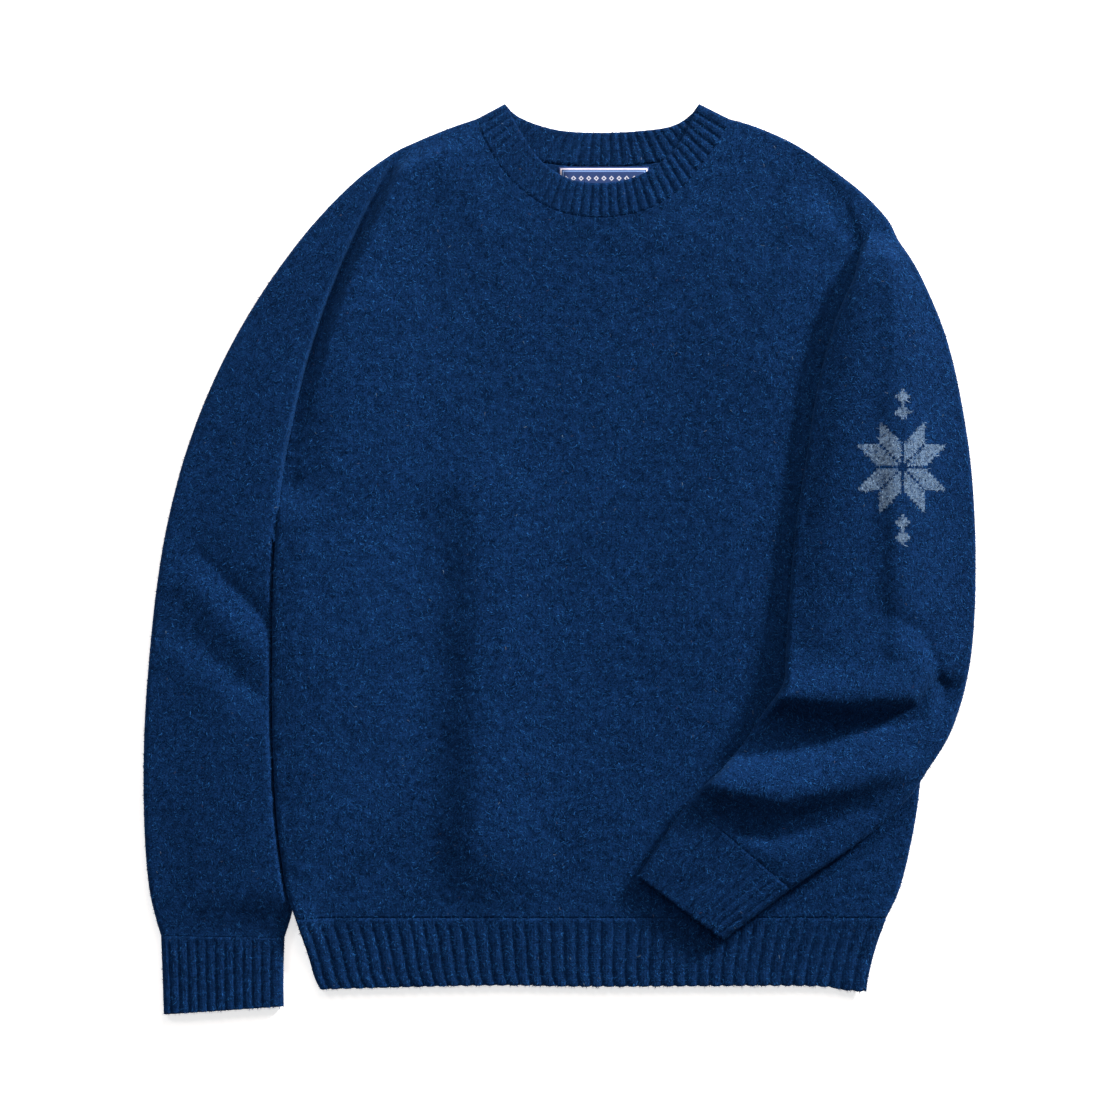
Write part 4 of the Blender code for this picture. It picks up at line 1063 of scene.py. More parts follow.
def arch(s):
    """Round rise across a tube, from nothing at either edge to 1 in the middle."""
    return np.sin(np.pi * np.clip(s, 0.0, 1.0))


def sleeve_skins(relief, ground):
    """Heights of a tube's two skins above the ground, as two functions."""

    def outer(x, y, s, row):
        low = ground(x, y, row)
        high = row[5] + (row[6] - row[5]) * s + relief(x, y, s)
        return low, np.maximum(high, low + TWO_LAYERS)

    def inner(x, y, s, row):
        low, high = outer(x, y, s, row)
        ceiling = high - CLOTH
        return np.maximum(low + CLOTH, ceiling - SLIT), ceiling

    return outer, inner


def make_sleeve(name, table, fine, coarse, relief, ground, knee, material):
    """Flattened tube of one sleeve; fine and coarse give rings and points across the top."""
    table = [(*row, k / (len(table) - 1)) for k, row in enumerate(table)]
    outer, inner = sleeve_skins(relief, ground)
    skins = []
    for (rings, across), heights, edge, arc in (
            (fine, outer, EDGE, ARC), (coarse, inner, EDGE - CLOTH, COARSE_ARC)):
        rows = smooth(table, np.linspace(0.0, 1.0, rings))
        top = np.linspace(0.0, 1.0, across)
        below = np.linspace(0.0, 1.0, SLEEVE_UNDER)
        skins.append((ring_skin(rows, top, below, arc, edge, heights, knee and edge == EDGE),
                      ring_numbers(top, below, arc)))
    return tube_cloth(name, skins[0], skins[1], material)


def make_cuff(name, table, ground):
    """Ribbed tube at the end of a sleeve."""
    outer, inner = sleeve_skins(lambda x, y, s: CROWN_AT_CUFF * arch(s), ground)
    top = np.linspace(0.0, 1.0, CUFF_RIBS * RIB_POINTS + 1)
    below = np.linspace(0.0, 1.0, CUFF_UNDER)

    def ribbed(x, y, s, row):
        low, high = outer(x, y, s, row)
        first = len(below) + len(ARC)
        high = high + (SLEEVE_LUMPS - 0.2 * ease(0.0, 0.3, row[-1])) * lumps(x, y)
        grooves = ribbing(top[::-1], CUFF_RIBS) * ease(*CUFF_RIBS_GROW, row[-1])
        high[first:first + len(top)] -= grooves
        return low, high - turned_over(row[-1], CUFF_DEEP)

    def rows_at(places):
        rows = smooth(table, places)
        return np.column_stack([rows, places])

    seam = SEAM / CUFF_DEEP
    v_list = seam + down_to_edge(14, CUFF_DEEP) * (1.0 - seam)
    coarse = np.linspace(seam, 1.0, 5)
    plain = np.linspace(0.0, 1.0, CUFF_RIBS + 1)
    skins = [(ring_skin(rows_at(v_list), top, below, ARC, EDGE, ribbed),
              ring_numbers(top, below, ARC)),
             (ring_skin(rows_at(coarse), plain, below, COARSE_ARC, EDGE - CLOTH, inner),
              ring_numbers(plain, below, COARSE_ARC))]
    return tube_cloth(name, skins[0], skins[1], RIBBED)


def right_relief(x, y, s):
    """Folds of the sleeve beside the body, pressed flat where the body lies on it."""
    above_cuff = ease(*FOLDS_ABOVE_CUFF, y)
    free = ease(0.0, TUCK, distance(x, y, BODY_OUTLINE)) * above_cuff
    felted = SLEEVE_LUMPS * lumps(x, y)
    seam = (1.0 - above_cuff) * (CROWN_AT_CUFF * arch(s) + felted)
    return free * (CROWN_BESIDE * arch(s) + folds(SLEEVE_RIGHT_FOLDS, x, y) + felted) + seam


def left_relief(x, y, s):
    """Folds of the sleeve that lies on the front, less near its cuff and its shoulder."""
    cuff = ease(0.0, FOLDS_FROM_CUFF, distance(x, y, CUFF_LEFT_OUTLINE))
    seam = CROWN_AT_CUFF * (1.0 - cuff) * arch(s)
    shoulder = ease(*FOLDS_FROM_SHOULDER, y)
    raised = CROWN * arch(s) + folds(SLEEVE_LEFT_FOLDS, x, y)
    return cuff * shoulder * raised + seam + SLEEVE_LUMPS * lumps(x, y)


# Star on the folded sleeve

# Middle of the star, size of a stitch, and sizes counted in stitches: a petal, the places of the small
# diamonds above and below, and the reach of one
STAR_PLACE = (268.6, 73.0)
STAR_STITCH = 2.4
STAR_PETAL = 7
STAR_DIAMONDS = (18, 23)
DIAMOND_REACH = 2.5


def star(x, y):
    """1 where a stitch of the eight-pointed star or of its small diamonds is pale."""
    i = np.abs(np.round((x - STAR_PLACE[0]) / STAR_STITCH))
    j = np.abs(np.round((y - STAR_PLACE[1]) / STAR_STITCH))
    longer = np.maximum(i, j)
    shorter = np.minimum(i, j)
    slant_part = longer - shorter
    petal = (shorter > 0.5) & (slant_part > 0.5)
    petal &= (shorter < STAR_PETAL + 0.5) & (slant_part < STAR_PETAL + 0.5)
    for middle in STAR_DIAMONDS:
        petal |= i + np.abs(j - middle) < DIAMOND_REACH
    return petal.astype(float)


# Materials

# Colours as linear red, green and blue
NAVY_DEEP = (0.0006, 0.0078, 0.0330)
NAVY_BRIGHT = (0.0056, 0.0370, 0.1420)
STAR_PALE = (0.140, 0.220, 0.330)
INDIGO = (0.030, 0.060, 0.180)
THREAD = (0.62, 0.66, 0.78)

# Label: border lines by distance from its edge, width and colour, and the row of diamonds
LABEL_LINES = [(1.6, 0.9, (0.75, 0.70, 0.78)), (3.3, 0.6, (0.22, 0.38, 0.72))]
DIAMOND_PITCH = 6.0
DIAMOND_DOWN = 9.0

# Colour of a fibre by its tone, and the range of tones of each kind of fibre
FIBRE_TONES = [
    (0.00, (0.0004, 0.0068, 0.0290)),
    (0.36, (0.0026, 0.0255, 0.0970)),
    (0.72, (0.0150, 0.0960, 0.2950)),
    (0.76, (0.0560, 0.0430, 0.0700)),
    (0.80, (0.1000, 0.1500, 0.2000)),
    (0.86, (0.0900, 0.1700, 0.3000)),
    (1.00, (0.2100, 0.3000, 0.4200)),
]
NAVY_TONES = (0.0, 0.72)
FLECK_TONES = (0.75, 0.82)
STAR_TONES = (0.84, 1.0)

# Height in metres above which the star shows
STAR_ABOVE = 0.008


class Nodes:
    """Short way to place nodes and wire them up in one tree."""

    def __init__(self, tree):
        self.tree = tree

    def add(self, kind, settings=None, **sockets):
        """Node of a kind. A socket is given by name, or by n and its number, as a value or an output."""
        node = self.tree.nodes.new(kind)
        for key, value in (settings or {}).items():
            setattr(node, key, value)
        for key, value in sockets.items():
            place = int(key[1:]) if key[0] == "n" and key[1:].isdigit() else key.replace("_", " ")
            socket = node.inputs[place]
            if isinstance(value, bpy.types.NodeSocket):
                self.tree.links.new(value, socket)
            else:
                socket.default_value = value
        return node

    def math(self, operation, a, b=0.0, c=0.0):
        """Output of a Math node."""
        return self.add("ShaderNodeMath", {"operation": operation}, n0=a, n1=b, n2=c).outputs[0]

    def blend(self, share, a, b):
        """Output of a colour mix."""
        node = self.add("ShaderNodeMix", {"data_type": "RGBA"}, Factor=share, n6=a, n7=b)
        return node.outputs[2]

    def noise(self, place, scale, detail=2.0, rough=0.5, distort=0.0):
        """Factor of a noise texture."""
        return self.add("ShaderNodeTexNoise", Vector=place, Scale=scale, Detail=detail,
                        Roughness=rough, Distortion=distort).outputs["Fac"]


def new_group(name, inputs, outputs):
    """Shader node group with named inputs and outputs."""
    tree = bpy.data.node_groups.new(name, "ShaderNodeTree")
    for label, kind, value in inputs:
        socket = tree.interface.new_socket(name=label, in_out="INPUT", socket_type=kind)
        if value is not None:
            socket.default_value = value
    for label, kind in outputs:
        tree.interface.new_socket(name=label, in_out="OUTPUT", socket_type=kind)
    nodes = Nodes(tree)
    return nodes, nodes.add("NodeGroupInput").outputs, nodes.add("NodeGroupOutput").inputs


def knit_group():
    """Columns of V stitches from a place on the cloth in millimetres."""
    nodes, given, result = new_group(
        "knit_stitches",
        [("Place", "NodeSocketVector", None), ("Wale", "NodeSocketFloat", 2.4),
         ("Course", "NodeSocketFloat", 1.9)],
        [("Height", "NodeSocketFloat")])
    parts = nodes.add("ShaderNodeSeparateXYZ", Vector=given["Place"]).outputs
    across = nodes.math("DIVIDE", parts["X"], given["Wale"])
    down = nodes.math("DIVIDE", parts["Y"], given["Course"])
    from_middle = nodes.math("PINGPONG", across, 0.5)
    column = nodes.math("SINE", nodes.math("MULTIPLY", from_middle, np.pi))
    slanted = nodes.math("ADD", down, from_middle)
    loop = nodes.math("MULTIPLY_ADD", nodes.math(
        "SINE", nodes.math("MULTIPLY", slanted, 2.0 * np.pi)), 0.5, 0.5)
    height = nodes.math("MULTIPLY_ADD", loop, 0.45, nodes.math("MULTIPLY", column, 0.55))
    nodes.tree.links.new(height, result["Height"])
    return nodes.tree


def felt_group():
    """Mottled colour and relief of felted wool from a place in metres."""
    nodes, given, result = new_group(
        "felted_wool",
        [("Place", "NodeSocketVector", None), ("Deep", "NodeSocketColor", None),
         ("Bright", "NodeSocketColor", None), ("Fibre", "NodeSocketFloat", 900.0)],
        [("Color", "NodeSocketColor"), ("Height", "NodeSocketFloat")])
    place = given["Place"]
    fine = nodes.noise(place, given["Fibre"], 3.0, 0.65, 0.8)
    middling = nodes.noise(place, 170.0, 2.0, 0.55)
    broad = nodes.noise(place, 24.0, 1.0, 0.5)
    mixed = nodes.math("MULTIPLY_ADD", fine, 0.70, nodes.math("MULTIPLY", middling, 0.23))
    mixed = nodes.math("MULTIPLY_ADD", broad, 0.07, mixed)
    spread = nodes.add("ShaderNodeMapRange", n0=mixed, n1=0.40, n2=0.66).outputs[0]
    nodes.tree.links.new(nodes.blend(spread, given["Deep"], given["Bright"]), result["Color"])
    height = nodes.math("MULTIPLY_ADD", fine, 0.6, nodes.math("MULTIPLY", middling, 0.4))
    nodes.tree.links.new(height, result["Height"])
    return nodes.tree


def star_group():
    """Mask of the knitted star from a place in stitches away from its middle."""
    nodes, given, result = new_group(
        "star_stitches", [("Stitches", "NodeSocketVector", None)], [("Mask", "NodeSocketFloat")])
    parts = nodes.add("ShaderNodeSeparateXYZ", Vector=given["Stitches"]).outputs
    i = nodes.math("ABSOLUTE", nodes.math("ROUND", parts["X"]))
    j = nodes.math("ABSOLUTE", nodes.math("ROUND", parts["Y"]))
    longer = nodes.math("MAXIMUM", i, j)
    shorter = nodes.math("MINIMUM", i, j)
    slant_part = nodes.math("SUBTRACT", longer, shorter)
    mask = 1.0
    for part in (shorter, slant_part):
        mask = nodes.math("MULTIPLY", mask, nodes.math("GREATER_THAN", part, 0.5))
        mask = nodes.math("MULTIPLY", mask, nodes.math("LESS_THAN", part, STAR_PETAL + 0.5))
    for middle in STAR_DIAMONDS:
        away = nodes.math("ADD", i, nodes.math("ABSOLUTE", nodes.math("SUBTRACT", j, middle)))
        mask = nodes.math("MAXIMUM", mask, nodes.math("LESS_THAN", away, DIAMOND_REACH))
    nodes.tree.links.new(mask, result["Mask"])
    return nodes.tree


def new_material(name, roughness, sheen, sheen_tint):
    """Material with its shader's constant values set, and the nodes to go on with."""
    material = bpy.data.materials.new(name)
    material.use_nodes = True
    nodes = Nodes(material.node_tree)
    shader = material.node_tree.nodes["Principled BSDF"]
    shader.inputs["Roughness"].default_value = roughness
    shader.inputs["Specular IOR Level"].default_value = 0.04
    shader.inputs["Sheen Weight"].default_value = sheen
    shader.inputs["Sheen Roughness"].default_value = 0.55
    shader.inputs["Sheen Tint"].default_value = (*sheen_tint, 1.0)
    return material, nodes, shader.inputs


def wool(name, knit, wale=2.4, with_star=False):
    """Felted navy wool with painted shade in the grooves of its knit stitches and bumps from those
    stitches, and the pale star where asked for.
    """
    material, nodes, shader = new_material(name, 0.95, 0.10, (0.10, 0.38, 1.0))
    place = nodes.add("ShaderNodeTexCoord").outputs["Object"]
    felt = nodes.add("ShaderNodeGroup", {"node_tree": FELT}, Place=place,
                     Deep=(*NAVY_DEEP, 1.0), Bright=(*NAVY_BRIGHT, 1.0)).outputs
    cloth = nodes.add("ShaderNodeUVMap", {"uv_map": "cloth"}).outputs[0]
    stitches = nodes.add("ShaderNodeGroup", {"node_tree": KNIT}, Place=cloth, Wale=wale).outputs[0]
    # Painted shade: the base colour is darkened in the grooves between the knit stitches, by the knit
    # share, from the same stitch heights that make the bumps.
    stitch_shade = nodes.math("MULTIPLY_ADD", stitches, knit, 1.0 - knit)
    shade = nodes.add("ShaderNodeMix", {"data_type": "RGBA", "blend_type": "MULTIPLY"},
                      Factor=1.0, n6=felt["Color"], n7=stitch_shade)
    colour = shade.outputs[2]
    if with_star:
        shift = nodes.add("ShaderNodeMapping", Vector=place,
                          Location=(-(STAR_PLACE[0] - MIDDLE[0]) / STAR_STITCH,
                                    -(STAR_PLACE[1] - MIDDLE[1]) / STAR_STITCH, 0.0),
                          Scale=(1.0 / (STAR_STITCH * METRE), 1.0 / (STAR_STITCH * METRE), 1.0))
        mask = nodes.add("ShaderNodeGroup", {"node_tree": STAR},
                         Stitches=shift.outputs[0]).outputs[0]
        above = nodes.add("ShaderNodeSeparateXYZ", Vector=place).outputs["Z"]
        mask = nodes.math("MULTIPLY", mask, nodes.math("GREATER_THAN", above, STAR_ABOVE))
        worn = nodes.add("ShaderNodeMapRange", n0=nodes.noise(place, 420.0, 3.0, 0.7), n1=0.35,
                         n2=0.60, n3=0.15, n4=0.85).outputs[0]
        colour = nodes.blend(nodes.math("MULTIPLY", mask, worn), colour, (*STAR_PALE, 1.0))
    nodes.tree.links.new(colour, shader["Base Color"])
    height = nodes.math("MULTIPLY_ADD", stitches, knit, felt["Height"])
    bump = nodes.add("ShaderNodeBump", Height=height, Strength=0.8, Distance=0.0007)
    nodes.tree.links.new(bump.outputs[0], shader["Normal"])
    return material


def fibre_wool():
    """Brushed fibres, each in its own tone, with rare pale and russet ones."""
    material, nodes, shader = new_material("brushed_fibre", 0.95, 0.08, (0.12, 0.40, 1.0))
    tone = nodes.add("ShaderNodeAttribute", {"attribute_name": "tone"}).outputs["Fac"]
    ramp = nodes.add("ShaderNodeValToRGB", Fac=tone)
    stops = ramp.color_ramp.elements
    for k, (place, colour) in enumerate(FIBRE_TONES):
        stop = stops[k] if k < 2 else stops.new(place)
        stop.position = place
        stop.color = (*colour, 1.0)
    nodes.tree.links.new(ramp.outputs[0], shader["Base Color"])
    lay = nodes.add("ShaderNodeAttribute", {"attribute_name": "lay"}).outputs["Vector"]
    turned = nodes.add("ShaderNodeVectorTransform", {
        "vector_type": "NORMAL", "convert_from": "OBJECT", "convert_to": "WORLD"}, Vector=lay)
    nodes.tree.links.new(turned.outputs[0], shader["Normal"])
    return material


def woven_label():
    """Indigo satin label with two light border lines, a row of small diamonds, and painted shade in the
    grooves between its threads.
    """
    material, nodes, shader = new_material("woven_label", 0.55, 0.1, (0.6, 0.7, 1.0))
    place = nodes.add("ShaderNodeTexCoord").outputs["Object"]
    left, right, low, high = LABEL
    middle = ((left + right) / 2 - MIDDLE[0], (low + high) / 2 - MIDDLE[1])
    shift = nodes.add("ShaderNodeMapping", Vector=place, Location=(-middle[0], -middle[1], 0.0),
                      Scale=(1000.0, 1000.0, 1000.0)).outputs[0]
    parts = nodes.add("ShaderNodeSeparateXYZ", Vector=shift).outputs
    from_side = nodes.math("SUBTRACT", (right - left) / 2, nodes.math("ABSOLUTE", parts["X"]))
    from_end = nodes.math("SUBTRACT", (high - low) / 2, nodes.math("ABSOLUTE", parts["Y"]))
    inset = nodes.math("MINIMUM", from_side, from_end)
    colour = (*INDIGO, 1.0)
    for start, width, thread in LABEL_LINES:
        away = nodes.math("ABSOLUTE", nodes.math("SUBTRACT", inset, start))
        line = nodes.math("LESS_THAN", away, width / 2)
        colour = nodes.blend(line, colour, (*thread, 1.0))
    across = nodes.math("PINGPONG", parts["X"], DIAMOND_PITCH / 2)
    up = nodes.math("ABSOLUTE", nodes.math("SUBTRACT", from_end, DIAMOND_DOWN))
    away = nodes.math("ADD", across, up)
    ring = nodes.math("LESS_THAN", nodes.math("ABSOLUTE", nodes.math("SUBTRACT", away, 1.5)), 0.55)
    inside = nodes.math("GREATER_THAN", inset, LABEL_LINES[-1][0] + 1.0)
    colour = nodes.blend(nodes.math("MULTIPLY", ring, inside), colour, (*THREAD, 1.0))
    threads = nodes.add("ShaderNodeTexWave", {"wave_profile": "SIN"}, Vector=shift,
                        Scale=0.6).outputs["Fac"]
    # Painted shade: the colour is darkened by up to a quarter in the grooves between the threads, from
    # the same waves that make their bumps.
    shade = nodes.add("ShaderNodeMix", {"data_type": "RGBA", "blend_type": "MULTIPLY"},
                      Factor=0.25, n6=colour, n7=threads)
    nodes.tree.links.new(shade.outputs[2], shader["Base Color"])
    bump = nodes.add("ShaderNodeBump", Height=threads, Strength=0.4, Distance=0.0002)
    nodes.tree.links.new(bump.outputs[0], shader["Normal"])
    return material


KNIT = knit_group()
FELT = felt_group()
STAR = star_group()
WOOL = wool("felted_wool_body", knit=0.14)
SLEEVE_WOOL = wool("felted_wool_sleeve", knit=0.24, with_star=True)
RIBBED = wool("ribbed_wool", knit=0.35, wale=2.35)
FIBRE = fibre_wool()
LABEL_CLOTH_LOOK = woven_label()


# Brushed fibres

# Most fibres in one mesh, spread of the way they face for the light, and share of flecks
FIBRES_EACH = 62000
LAY_SPREAD = 0.16
FLECK_SHARE = 0.0014

# Share of the star's fibres that are pale
STAR_SHARE = 0.8

# How far down a face may look and still carry some or all of its fibres, as the height of its normal
CARRIES = (-0.7, -0.1)

# Way the fibres run, in degrees, its spread, and the spread of their bend
FLOW_WAY = -80.0
FLOW_SPREAD = 62.0
BEND_SPREAD = 0.55

# Length of a fibre on a steep face as a share of its length on a level one
STEEP_SHARE = 0.60

# Depth of the roots in the cloth, and lowest place of a fibre above the ground
ROOT_DEEP = 0.15
LOWEST = 0.15

# How far fibres reach in under a piece that lies on their cloth
COVERED = 5.0

# Point that closes the outline of the neck's opening, and how far beyond it fibres are made
NECK_CLOSED = (32.0, 362.0)
NECK_BEYOND = 4.0


def scatter(piece, density, keep, rng):
    """Random places on a piece's outer skin, in millimetres, and the normals there."""
    mesh = piece.data
    mesh.calc_loop_triangles()
    corners = np.empty(len(mesh.loop_triangles) * 3, np.int32)
    mesh.loop_triangles.foreach_get("vertices", corners)
    corners = corners.reshape(-1, 3)
    points = np.empty(len(mesh.vertices) * 3, np.float32)
    mesh.vertices.foreach_get("co", points)
    points = points.reshape(-1, 3) / METRE + (*MIDDLE, 0.0)
    corners = corners[corners.max(axis=1) < OUTER_POINTS[piece.name]]
    a, b, c = (points[corners[:, k]] for k in range(3))
    cross = np.cross(b - a, c - a)
    double = np.linalg.norm(cross, axis=1)
    normal = cross / np.maximum(double, 1e-9)[:, None]
    middle = (a + b + c) / 3.0
    weight = 0.5 * double * ease(*CARRIES, normal[:, 2]) * keep(middle[:, 0], middle[:, 1])
    count = int(weight.sum() * density)
    pick = rng.choice(len(weight), count, p=weight / weight.sum())
    r = rng.random((count, 2))
    r = np.where(r.sum(axis=1, keepdims=True) > 1.0, 1.0 - r, r)
    roots = a[pick] + (b - a)[pick] * r[:, :1] + (c - a)[pick] * r[:, 1:]
    return roots, normal[pick]


def fibre_points(roots, normals, length, width, lift_range, rng):
    """Five points for each fibre: two at its root, two at its bend and one at its tip."""
    count = len(roots)
    x, y = roots[:, 0], roots[:, 1]
    angle = np.radians(uneven(FLOW_PATCHES, x, y, FLOW_WAY) + rng.normal(0.0, FLOW_SPREAD, count))
    flow = np.stack([np.cos(angle), np.sin(angle), 0.0 * angle], axis=-1)
    flow -= normals * (flow * normals).sum(axis=1, keepdims=True)
    flow /= np.maximum(np.linalg.norm(flow, axis=1, keepdims=True), 1e-6)
    side = np.cross(normals, flow)
    level = STEEP_SHARE + (1.0 - STEEP_SHARE) * ease(0.3, 0.9, normals[:, 2])
    long = (rng.uniform(*length, count) * level)[:, None]
    rise = np.radians(rng.uniform(*lift_range, count))[:, None]
    turn = rng.normal(0.0, BEND_SPREAD, count)[:, None]
    later = flow * np.cos(turn) + side * np.sin(turn)
    half = 0.5 * long
    bend = roots + half * (flow * np.cos(rise) + normals * np.sin(rise))
    tip = bend + half * (later * np.cos(0.4 * rise) + normals * np.sin(0.4 * rise))
    across = side * (0.5 * rng.uniform(*width, count))[:, None]
    root = roots - normals * ROOT_DEEP
    points = np.stack([root - across, root + across, bend + 0.8 * across, bend - 0.8 * across, tip],
                      axis=1)
    points[..., 2] = np.maximum(points[..., 2], LOWEST)
    return points


def make_fibres(name, points, tones, lay):
    """One mesh of many ribbons, each a quad and a triangle, with its tone and the cloth's lay."""
    count = len(points)
    mesh = bpy.data.meshes.new(name)
    shifted = (points.reshape(-1, 3) - (*MIDDLE, 0.0)) * METRE
    mesh.vertices.add(count * 5)
    mesh.vertices.foreach_set("co", shifted.astype(np.float32).ravel())
    pattern = np.array([0, 1, 2, 3, 3, 2, 4])
    mesh.loops.add(count * 7)
    corner = (np.arange(count)[:, None] * 5 + pattern).astype(np.int32)
    mesh.loops.foreach_set("vertex_index", corner.ravel())
    mesh.polygons.add(count * 2)
    starts = (np.arange(count)[:, None] * 7 + np.array([0, 4])).astype(np.int32)
    mesh.polygons.foreach_set("loop_start", starts.ravel())
    mesh.update(calc_edges=True)
    tone = mesh.attributes.new("tone", "FLOAT", "POINT")
    tone.data.foreach_set("value", np.repeat(tones, 5).astype(np.float32))
    facing = mesh.attributes.new("lay", "FLOAT_VECTOR", "POINT")
    facing.data.foreach_set("vector", np.repeat(lay, 5, axis=0).astype(np.float32).ravel())
    mesh.materials.append(FIBRE)
    piece = bpy.data.objects.new(name, mesh)
    bpy.context.scene.collection.objects.link(piece)
    return piece


def fibre_tones(roots, rng, with_star):
    """Tone of each fibre: navy, a rare fleck, or the pale yarn of the star."""
    count = len(roots)
    drift = uneven(TONE_PATCHES, roots[:, 0], roots[:, 1])
    navy = np.clip(rng.beta(1.0, 1.4, count) * NAVY_TONES[1] + drift, *NAVY_TONES)
    fleck = rng.random(count) < FLECK_SHARE
    tones = np.where(fleck, rng.uniform(*FLECK_TONES, count), navy)
    pale = rng.uniform(*STAR_TONES, count)
    starry = (rng.random(count) < STAR_SHARE) & (star(roots[:, 0], roots[:, 1]) > 0.5)
    return np.where(starry & with_star, pale, tones)


def in_neck(x, y):
    """Inside of the back that shows through the neck."""
    rim = np.asarray(NECK_FRONT)[:, 2:4]
    return (distance(x, y, np.concatenate([rim, [NECK_CLOSED]])) < NECK_BEYOND).astype(float)


def brush(cloths, density, length, width, lift_range, seed):
    """Fibres over several pieces of cloth, shared out over a few meshes."""
    rng = np.random.default_rng(seed)
    points = []
    tones = []
    lay = []
    for piece, share, keep, with_star in cloths:
        roots, normals = scatter(piece, density * share, keep, rng)
        points.append(fibre_points(roots, normals, length, width, lift_range, rng))
        tones.append(fibre_tones(roots, rng, with_star))
        lay.append(normals + rng.normal(0.0, LAY_SPREAD, normals.shape))
    points = np.concatenate(points)
    tones = np.concatenate(tones)
    lay = np.concatenate(lay)
    lay /= np.linalg.norm(lay, axis=1, keepdims=True)
    made = []
    for k, first in enumerate(range(0, len(points), FIBRES_EACH)):
        chosen = slice(first, first + FIBRES_EACH)
        made.append(make_fibres(f"nap_{k + 1}", points[chosen], tones[chosen], lay[chosen]))
    return made


# Making the pieces, hanging them on the root and hiding the CAD parts


def make_label():
    """Thin woven label on the inside of the back."""
    left, right, low, high = LABEL
    places = np.linspace(0.0, 1.0, 9)
    u, v = np.meshgrid(places, places)
    x = left + u * (right - left)
    y = low + v * (high - low)
    upper = np.stack([x, y, 0.0 * x + LAYER + LABEL_CLOTH], axis=-1)
    lower = np.stack([x, y, 0.0 * x + LAYER], axis=-1)
    return panel_cloth("sewn_label", (upper, places, places), (lower, places, places),
                       LABEL_CLOTH_LOOK)


def declare(piece, node):
    """Hangs a piece on the root and hides the CAD part that it stands in for."""
    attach(piece, "root")
    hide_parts(node)


front = make_front()
back = make_back()
front_hem, back_hem = make_hems()
front_band = make_neckband("front_neckband", NECK_FRONT, NECK_RIBS_FRONT, NECK_LONG_FRONT, front=True)
back_band = make_neckband("back_neckband", NECK_BACK, NECK_RIBS_BACK, NECK_LONG_BACK, front=False)
right_sleeve = make_sleeve("right_sleeve", SLEEVE_RIGHT, (190, 54), (70, 16), right_relief,
                           on_ground, False, WOOL)
left_sleeve = make_sleeve("left_sleeve", SLEEVE_LEFT, (210, 60), (80, 28), left_relief,
                          on_body, True, SLEEVE_WOOL)
right_cuff = make_cuff("right_cuff", CUFF_RIGHT, on_ground)
left_cuff = make_cuff("left_cuff", CUFF_LEFT, on_front)
label = make_label()


def all_over(x, y):
    """Fibres everywhere."""
    return np.ones(np.shape(x))


def beside_body(x, y):
    """Fibres where the body doesn't lie on the sleeve."""
    return (distance(x, y, BODY_OUTLINE) > -COVERED).astype(float)


def beside_sleeve(x, y):
    """Fibres where the folded sleeve doesn't lie on the front."""
    return (distance(x, y, SLEEVE_LEFT_OUTLINE) > -COVERED).astype(float)


naps = brush([(front, 1.0, beside_sleeve, False), (front_hem, 1.0, beside_sleeve, False),
              (front_band, 0.9, all_over, False), (back_band, 0.9, in_neck, False),
              (right_sleeve, 0.9, beside_body, False), (left_sleeve, 0.95, all_over, True),
              (right_cuff, 1.0, all_over, False), (left_cuff, 1.1, all_over, False)],
             density=0.5, length=(1.7, 4.2), width=(0.28, 0.54), lift_range=(2.0, 30.0), seed=5)
for nap in naps:
    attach(nap, "root")

declare(front, "body_front")
declare(back, "body_back")
declare(front_hem, "hem_front")
declare(back_hem, "hem_back")
declare(front_band, "neckband_front")
declare(back_band, "neckband_back")
declare(right_sleeve, "sleeve_right")
declare(left_sleeve, "sleeve_left")
declare(right_cuff, "cuff_right")
declare(left_cuff, "cuff_left")
declare(label, "label")


# Floor, light and camera

# Light given off by the floor, and by the whole surroundings
FLOOR_GLOW = 0.62
WORLD_LIGHT = 0.22

# Lens and film width of the camera, half of the width it sees, and the height on which that is measured
LENS = 85.0
SENSOR = 36.0
HALF_VIEW = 442.4
FOCUS_HEIGHT = 7.0


def pale_floor():
    """Plain near-white ground under the sweater."""
    mesh = bpy.data.meshes.new("ground")
    mesh.from_pydata([(-3.0, -3.0, -0.0004), (3.0, -3.0, -0.0004), (3.0, 3.0, -0.0004),
                      (-3.0, 3.0, -0.0004)], [], [(0, 1, 2, 3)])
    material = bpy.data.materials.new("ground_paper")
    material.use_nodes = True
    shader = material.node_tree.nodes["Principled BSDF"].inputs
    shader["Base Color"].default_value = (0.93, 0.93, 0.93, 1.0)
    shader["Roughness"].default_value = 0.9
    shader["Emission Color"].default_value = (1.0, 1.0, 1.0, 1.0)
    shader["Emission Strength"].default_value = FLOOR_GLOW
    mesh.materials.append(material)
    ground = bpy.data.objects.new("ground", mesh)
    bpy.context.scene.collection.objects.link(ground)


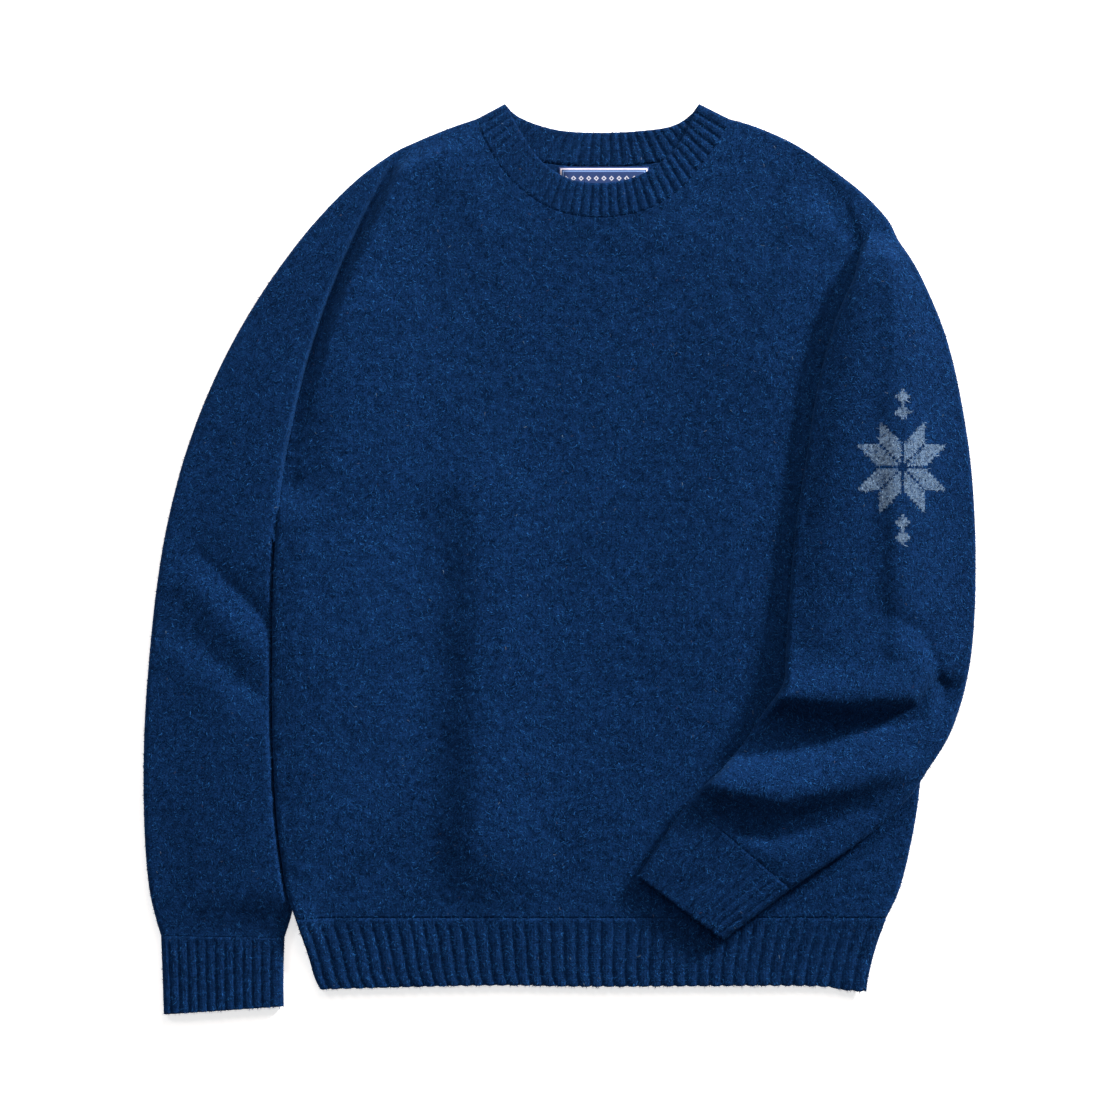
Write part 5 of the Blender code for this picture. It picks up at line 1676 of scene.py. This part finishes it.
def soft_light(name, turn, rise, softness, power, colour):
    """Broad even light from a direction on the plan and a height above it, all in degrees."""
    lamp = bpy.data.lights.new(name, "SUN")
    lamp.angle = np.radians(softness)
    lamp.energy = power
    lamp.color = colour
    holder = bpy.data.objects.new(name, lamp)
    turn, rise = np.radians((turn, rise))
    from_there = Vector((np.cos(turn) * np.cos(rise), np.sin(turn) * np.cos(rise), np.sin(rise)))
    holder.rotation_euler = (-from_there).to_track_quat("-Z", "Y").to_euler()
    holder.location = 2.0 * from_there
    bpy.context.scene.collection.objects.link(holder)


def glow(name, place, aim, size, power, colour):
    """Large soft light near the neck, so that the cloth is a little brighter there."""
    lamp = bpy.data.lights.new(name, "AREA")
    lamp.size = size
    lamp.energy = power
    lamp.color = colour
    holder = bpy.data.objects.new(name, lamp)
    holder.location = place
    holder.rotation_euler = (Vector(aim) - Vector(place)).to_track_quat("-Z", "Y").to_euler()
    bpy.context.scene.collection.objects.link(holder)


def straight_down_camera():
    """Camera over the middle of the photograph's frame, the neck toward its top."""
    camera = bpy.data.cameras.new("view_from_above")
    camera.lens = LENS
    camera.sensor_width = SENSOR
    camera.clip_start = 0.1
    holder = bpy.data.objects.new("view_from_above", camera)
    height = HALF_VIEW * METRE * LENS / (SENSOR / 2.0) + FOCUS_HEIGHT * METRE
    holder.location = (-MIDDLE[0] * METRE, -MIDDLE[1] * METRE, height)
    bpy.context.scene.collection.objects.link(holder)
    bpy.context.scene.camera = holder


pale_floor()
soft_light("key", turn=46.0, rise=16.5, softness=9.0, power=7.5, colour=(1.0, 0.99, 0.98))
soft_light("fill", turn=126.0, rise=34.0, softness=12.0, power=0.7, colour=(0.98, 0.99, 1.0))
glow("glow", place=(0.15, 0.95, 0.75), aim=(0.10, 0.30, 0.0), size=0.8, power=9.5,
     colour=(1.0, 0.80, 0.70))
world = bpy.data.worlds.new("studio")
world.use_nodes = True
world.node_tree.nodes["Background"].inputs["Color"].default_value = (1.0, 1.0, 1.0, 1.0)
world.node_tree.nodes["Background"].inputs["Strength"].default_value = WORLD_LIGHT
bpy.context.scene.world = world
bpy.context.scene.view_settings.view_transform = "Standard"
straight_down_camera()
